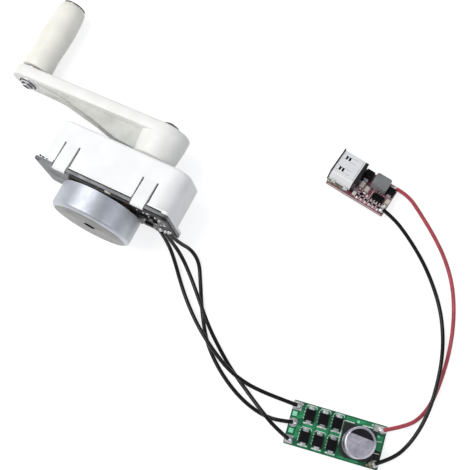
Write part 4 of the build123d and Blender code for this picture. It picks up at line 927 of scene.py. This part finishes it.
def crank_moulding():
    """Hub, and flat arm with softened edges."""
    arm = Piece(ON_ARM)
    levels = ((0.45, ARM_LOW), (0.12, ARM_LOW + 0.15), (0.0, ARM_LOW + 0.5), (0.0, ARM_HIGH - 0.9),
              (0.18, ARM_HIGH - 0.35), (0.5, ARM_HIGH - 0.08), (0.9, ARM_HIGH))
    arm.skin([[(x, y, z) for x, y in arm_outline(inset)] for inset, z in levels])
    arm.lathe(0, 0, ((8.6, HUB_LOW), (8.8, HUB_LOW + 0.2), (HUB_RADIUS - 0.1, HUB_STEP),
                     (HUB_RADIUS, ARM_LOW + 1.0)), 64)
    arm.finish("crank_moulding", CREAM, "cream_plastic", body="crank", replaces=("crank_arm",),
               creased=True)


def turned_grip():
    """Handle with a slight waist near the arm, a belly and a rounded tip."""
    grip = Piece(ON_ARM)
    length = GRIP_HIGH - GRIP_LOW
    side = ((6.0, 0.0), (6.35, 0.25), (6.5, 1.0), (6.36, 4.0), (6.22, 8.0), (6.3, 11.5), (6.48, 15.5),
            (6.55, 19.0), (6.45, 22.5), (6.25, 26.0), (6.0, 29.2), (5.6, 31.0), (4.9, 31.95),
            (4.15, length), (4.1, length - 0.9))
    grip.lathe(EYE_X, 0, [(radius, GRIP_LOW + rise) for radius, rise in side], 64)
    grip.finish("turned_grip", IVORY, "cream_plastic", body="grip", replaces=("handle_grip",),
                creased=True)


def hub_screw():
    """Screw and its washer on the hub."""
    screw = Piece(ON_ARM)
    screw.lathe(0, 0, ((5.4, ARM_HIGH - BUMP), (5.6, ARM_HIGH + 0.2), (5.4, ARM_HIGH + 0.6),
                       (3.5, ARM_HIGH + 0.62), (3.4, ARM_HIGH + 2.2), (2.8, ARM_HIGH + 2.75),
                       (1.3, ARM_HIGH + 2.9)), 48)
    screw.finish("hub_screw", BRIGHT_TIN, "steel", body="crank", replaces=("crank_screw",), smooth=True)


def fitting_shade_rings():
    """Dark rims round the screw's head and the nut, painted as shade."""
    shade = Piece(ON_ARM)
    shade.tube(0, 0, 3.47, 3.1, ARM_HIGH + 1.75, ARM_HIGH + 2.12, 48)
    shade.tube(EYE_X, 0, 4.0, 3.1, ARM_LOW - 0.42, ARM_LOW - 0.2, 40)
    shade.tube(EYE_X, 0, 2.75, 1.2, ARM_LOW - 1.22, ARM_LOW - 1.1, 32)
    shade.finish("fitting_shade_rings", PAINTED_SHADE_STEEL, "steel", body="crank")


def eye_nut():
    """Washer, nut and the pin's end under the eye."""
    nut = Piece(ON_ARM)
    nut.lathe(EYE_X, 0, ((4.5, ARM_LOW + 0.62), (4.7, ARM_LOW + 0.4), (4.6, ARM_LOW - 0.15),
                         (4.0, ARM_LOW - 0.35)), 40)
    nut.prism(circle(EYE_X, 0, 3.6, 6), ARM_LOW - 1.15, ARM_LOW)
    nut.tube(EYE_X, 0, 2.2, 1.5, ARM_LOW - 1.9, ARM_LOW - 0.5, 32)
    nut.finish("eye_nut", STEEL, "steel", body="crank", replaces=("handle_nut",))


def grip_washer():
    washer = Piece(ON_ARM)
    washer.lathe(EYE_X, 0, ((5.4, ARM_HIGH - BUMP), (5.7, ARM_HIGH + 0.1), (5.7, ARM_HIGH + 0.8),
                            (5.3, ARM_HIGH + 1.0)), 48)
    washer.finish("grip_washer", STEEL, "steel", body="crank", replaces=("handle_washer",), smooth=True)


def tip_cap():
    """Screw head in the grip's tip, with painted shade in the gap round it."""
    tip, seam = Piece(ON_ARM), Piece(ON_ARM)
    tip.lathe(EYE_X, 0, ((4.3, GRIP_HIGH - 0.8), (4.7, GRIP_HIGH - 0.1), (4.6, GRIP_HIGH + 0.45),
                         (4.0, GRIP_HIGH + 0.64), (3.6, GRIP_HIGH + 0.4), (1.5, GRIP_HIGH + 0.3)), 48)
    tip.finish("tip_cap", STEEL, "steel", body="grip", smooth=True)
    seam.tube(EYE_X, 0, 4.8, 4.4, GRIP_HIGH, GRIP_HIGH + 0.4, 48)
    seam.finish("tip_gap_shade", PAINTED_SHADE_STEEL, "steel", body="grip")


def cup_face():
    """Turned face of the cup, its steel painted darker as painted shade, with painted shade in the
    shaft's recess in the middle.
    """
    face, recess = Piece(ON_UNIT), Piece(ON_UNIT)
    face.lathe(0, 0, ((FACE_RADIUS, 0.02), (FACE_RADIUS - 0.1, -0.03), (4.2, -0.05), (4.1, -0.1),
                      (3.2, -0.12), (2.6, -0.05)), 96)
    face.finish("cup_face", SHADED_FACE_STEEL, "cup_steel", body="rotor", smooth=True)
    recess.lathe(0, 0, ((2.4, 0.0), (2.4, -0.1), (2.1, -0.16), (0.9, -0.16)), 40)
    recess.finish("cup_recess", HOLLOW, "cup_steel", body="rotor", smooth=True)


for build in (rectifier_lands, rectifier_joints, signal_pads, diode_wings, rectifier_tracks,
              rectifier_print, capacitor_painted_shadow, rectifier_dots, capacitor_details, socket_mouth,
              shell_seams, window_springs, shell_legs, shell_lands, usb_board_core, usb_joints,
              usb_lands, power_tabs, end_caps, small_parts, chip_wings, usb_print, phase_joints,
              board_specks, glue_drop, plate_gap_shade, crank_web, crank_moulding, turned_grip, hub_screw,
              fitting_shade_rings, eye_nut, grip_washer, tip_cap, cup_face):
    build()


# ---- floor, lights and camera ----
def camera_axes():
    """The camera's own right, up and back, as unit vectors."""
    azimuth = math.radians(CAMERA_AZIMUTH)
    elevation = math.radians(CAMERA_ELEVATION)
    back = Vector((math.sin(azimuth) * math.cos(elevation), -math.cos(azimuth) * math.cos(elevation),
                   math.sin(elevation)))
    right = Vector((math.cos(azimuth), math.sin(azimuth), 0))
    return right, back.cross(right), back


FLOOR_REACH = 3.0
FLOOR_GREY = 0.5
FLOOR_GLOW = 0.72      # added for camera, glossy and transmission rays alone
WORLD_LEVEL = 0.64
LEFT_TINT = (1.0, 1.0, 1.0, 1)
RIGHT_TINT = (0.42, 0.45, 0.52, 1)
TINT_REACH = 0.8


def math_node(tree, operation, *values):
    """A Math node that takes numbers and sockets."""
    made = tree.nodes.new("ShaderNodeMath")
    made.operation = operation
    for target, value in zip(made.inputs, values):
        if isinstance(value, float):
            target.default_value = value
        else:
            tree.links.new(value, target)
    return made.outputs["Value"]


def floor():
    """Pale floor that reads white from the camera and keeps soft shadows."""
    mesh = bpy.data.meshes.new("floor")
    corners = [(x * FLOOR_REACH, y * FLOOR_REACH, 0) for x, y in ((-1, -1), (1, -1), (1, 1), (-1, 1))]
    mesh.from_pydata(corners, [], [(0, 1, 2, 3)])
    stage = bpy.data.objects.new("floor", mesh)
    bpy.context.scene.collection.objects.link(stage)
    material = bpy.data.materials.new("floor")
    material.use_nodes = True
    tree = material.node_tree
    tree.nodes.clear()
    output = tree.nodes.new("ShaderNodeOutputMaterial")
    diffuse = tree.nodes.new("ShaderNodeBsdfDiffuse")
    diffuse.inputs["Color"].default_value = (FLOOR_GREY, FLOOR_GREY, FLOOR_GREY, 1)
    path = tree.nodes.new("ShaderNodeLightPath").outputs
    mirrored = math_node(tree, "MAXIMUM", path["Is Glossy Ray"], path["Is Transmission Ray"])
    seen = math_node(tree, "MAXIMUM", path["Is Camera Ray"], mirrored)
    glow = tree.nodes.new("ShaderNodeEmission")
    glow.inputs["Color"].default_value = (1, 1, 1, 1)
    tree.links.new(math_node(tree, "MULTIPLY", seen, FLOOR_GLOW), glow.inputs["Strength"])
    add = tree.nodes.new("ShaderNodeAddShader")
    tree.links.new(diffuse.outputs["BSDF"], add.inputs[0])
    tree.links.new(glow.outputs["Emission"], add.inputs[1])
    tree.links.new(add.outputs["Shader"], output.inputs["Surface"])
    mesh.materials.append(material)


def world():
    """Even soft surround, a little brighter on the camera's left."""
    right = camera_axes()[0]
    made = bpy.data.worlds.new("surround")
    bpy.context.scene.world = made
    made.use_nodes = True
    tree = made.node_tree
    background = tree.nodes["Background"]
    coords = tree.nodes.new("ShaderNodeTexCoord")
    dot = tree.nodes.new("ShaderNodeVectorMath")
    dot.operation = "DOT_PRODUCT"
    dot.inputs[1].default_value = right
    tree.links.new(coords.outputs["Generated"], dot.inputs[0])
    ramp = tree.nodes.new("ShaderNodeValToRGB")
    ramp.color_ramp.elements[0].position = 0.0
    ramp.color_ramp.elements[0].color = LEFT_TINT
    ramp.color_ramp.elements[1].position = 1.0
    ramp.color_ramp.elements[1].color = RIGHT_TINT
    spread = tree.nodes.new("ShaderNodeMapRange")
    spread.inputs["From Min"].default_value = -TINT_REACH
    spread.inputs["From Max"].default_value = TINT_REACH
    tree.links.new(dot.outputs["Value"], spread.inputs["Value"])
    tree.links.new(spread.outputs["Result"], ramp.inputs["Fac"])
    tree.links.new(ramp.outputs["Color"], background.inputs["Color"])
    background.inputs["Strength"].default_value = WORLD_LEVEL


def lamp(name, side, height, toward, size, power):
    """Soft square lamp along the camera's own right, up and back: metres, and power in watts."""
    right, up, back = camera_axes()
    target = Vector(CAMERA_TARGET) * MM
    data = bpy.data.lights.new(name, "AREA")
    data.shape = "SQUARE"
    data.size = size
    data.energy = power
    made = bpy.data.objects.new(name, data)
    made.location = target + right * side + up * height + back * toward
    made.rotation_mode = "QUATERNION"
    made.rotation_quaternion = (made.location - target).to_track_quat("Z", "Y")
    bpy.context.scene.collection.objects.link(made)


def camera():
    right, up, back = camera_axes()
    data = bpy.data.cameras.new("camera")
    data.lens = CAMERA_LENS
    data.sensor_width = SENSOR_WIDTH
    data.clip_start = NEAREST
    data.clip_end = FARTHEST
    made = bpy.data.objects.new("camera", data)
    place = Vector(CAMERA_TARGET) * MM + back * CAMERA_DISTANCE * MM
    turn = Matrix((right, up, back)).transposed().to_4x4()
    made.matrix_world = Matrix.Translation(place) @ turn
    bpy.context.scene.collection.objects.link(made)
    bpy.context.scene.camera = made


floor()
world()
lamp("key", side=-0.35, height=0.22, toward=0.5, size=0.45, power=2.2)
lamp("fill", side=0.45, height=-0.2, toward=0.5, size=0.5, power=0.9)
camera()
bpy.context.scene.view_settings.view_transform = "Standard"
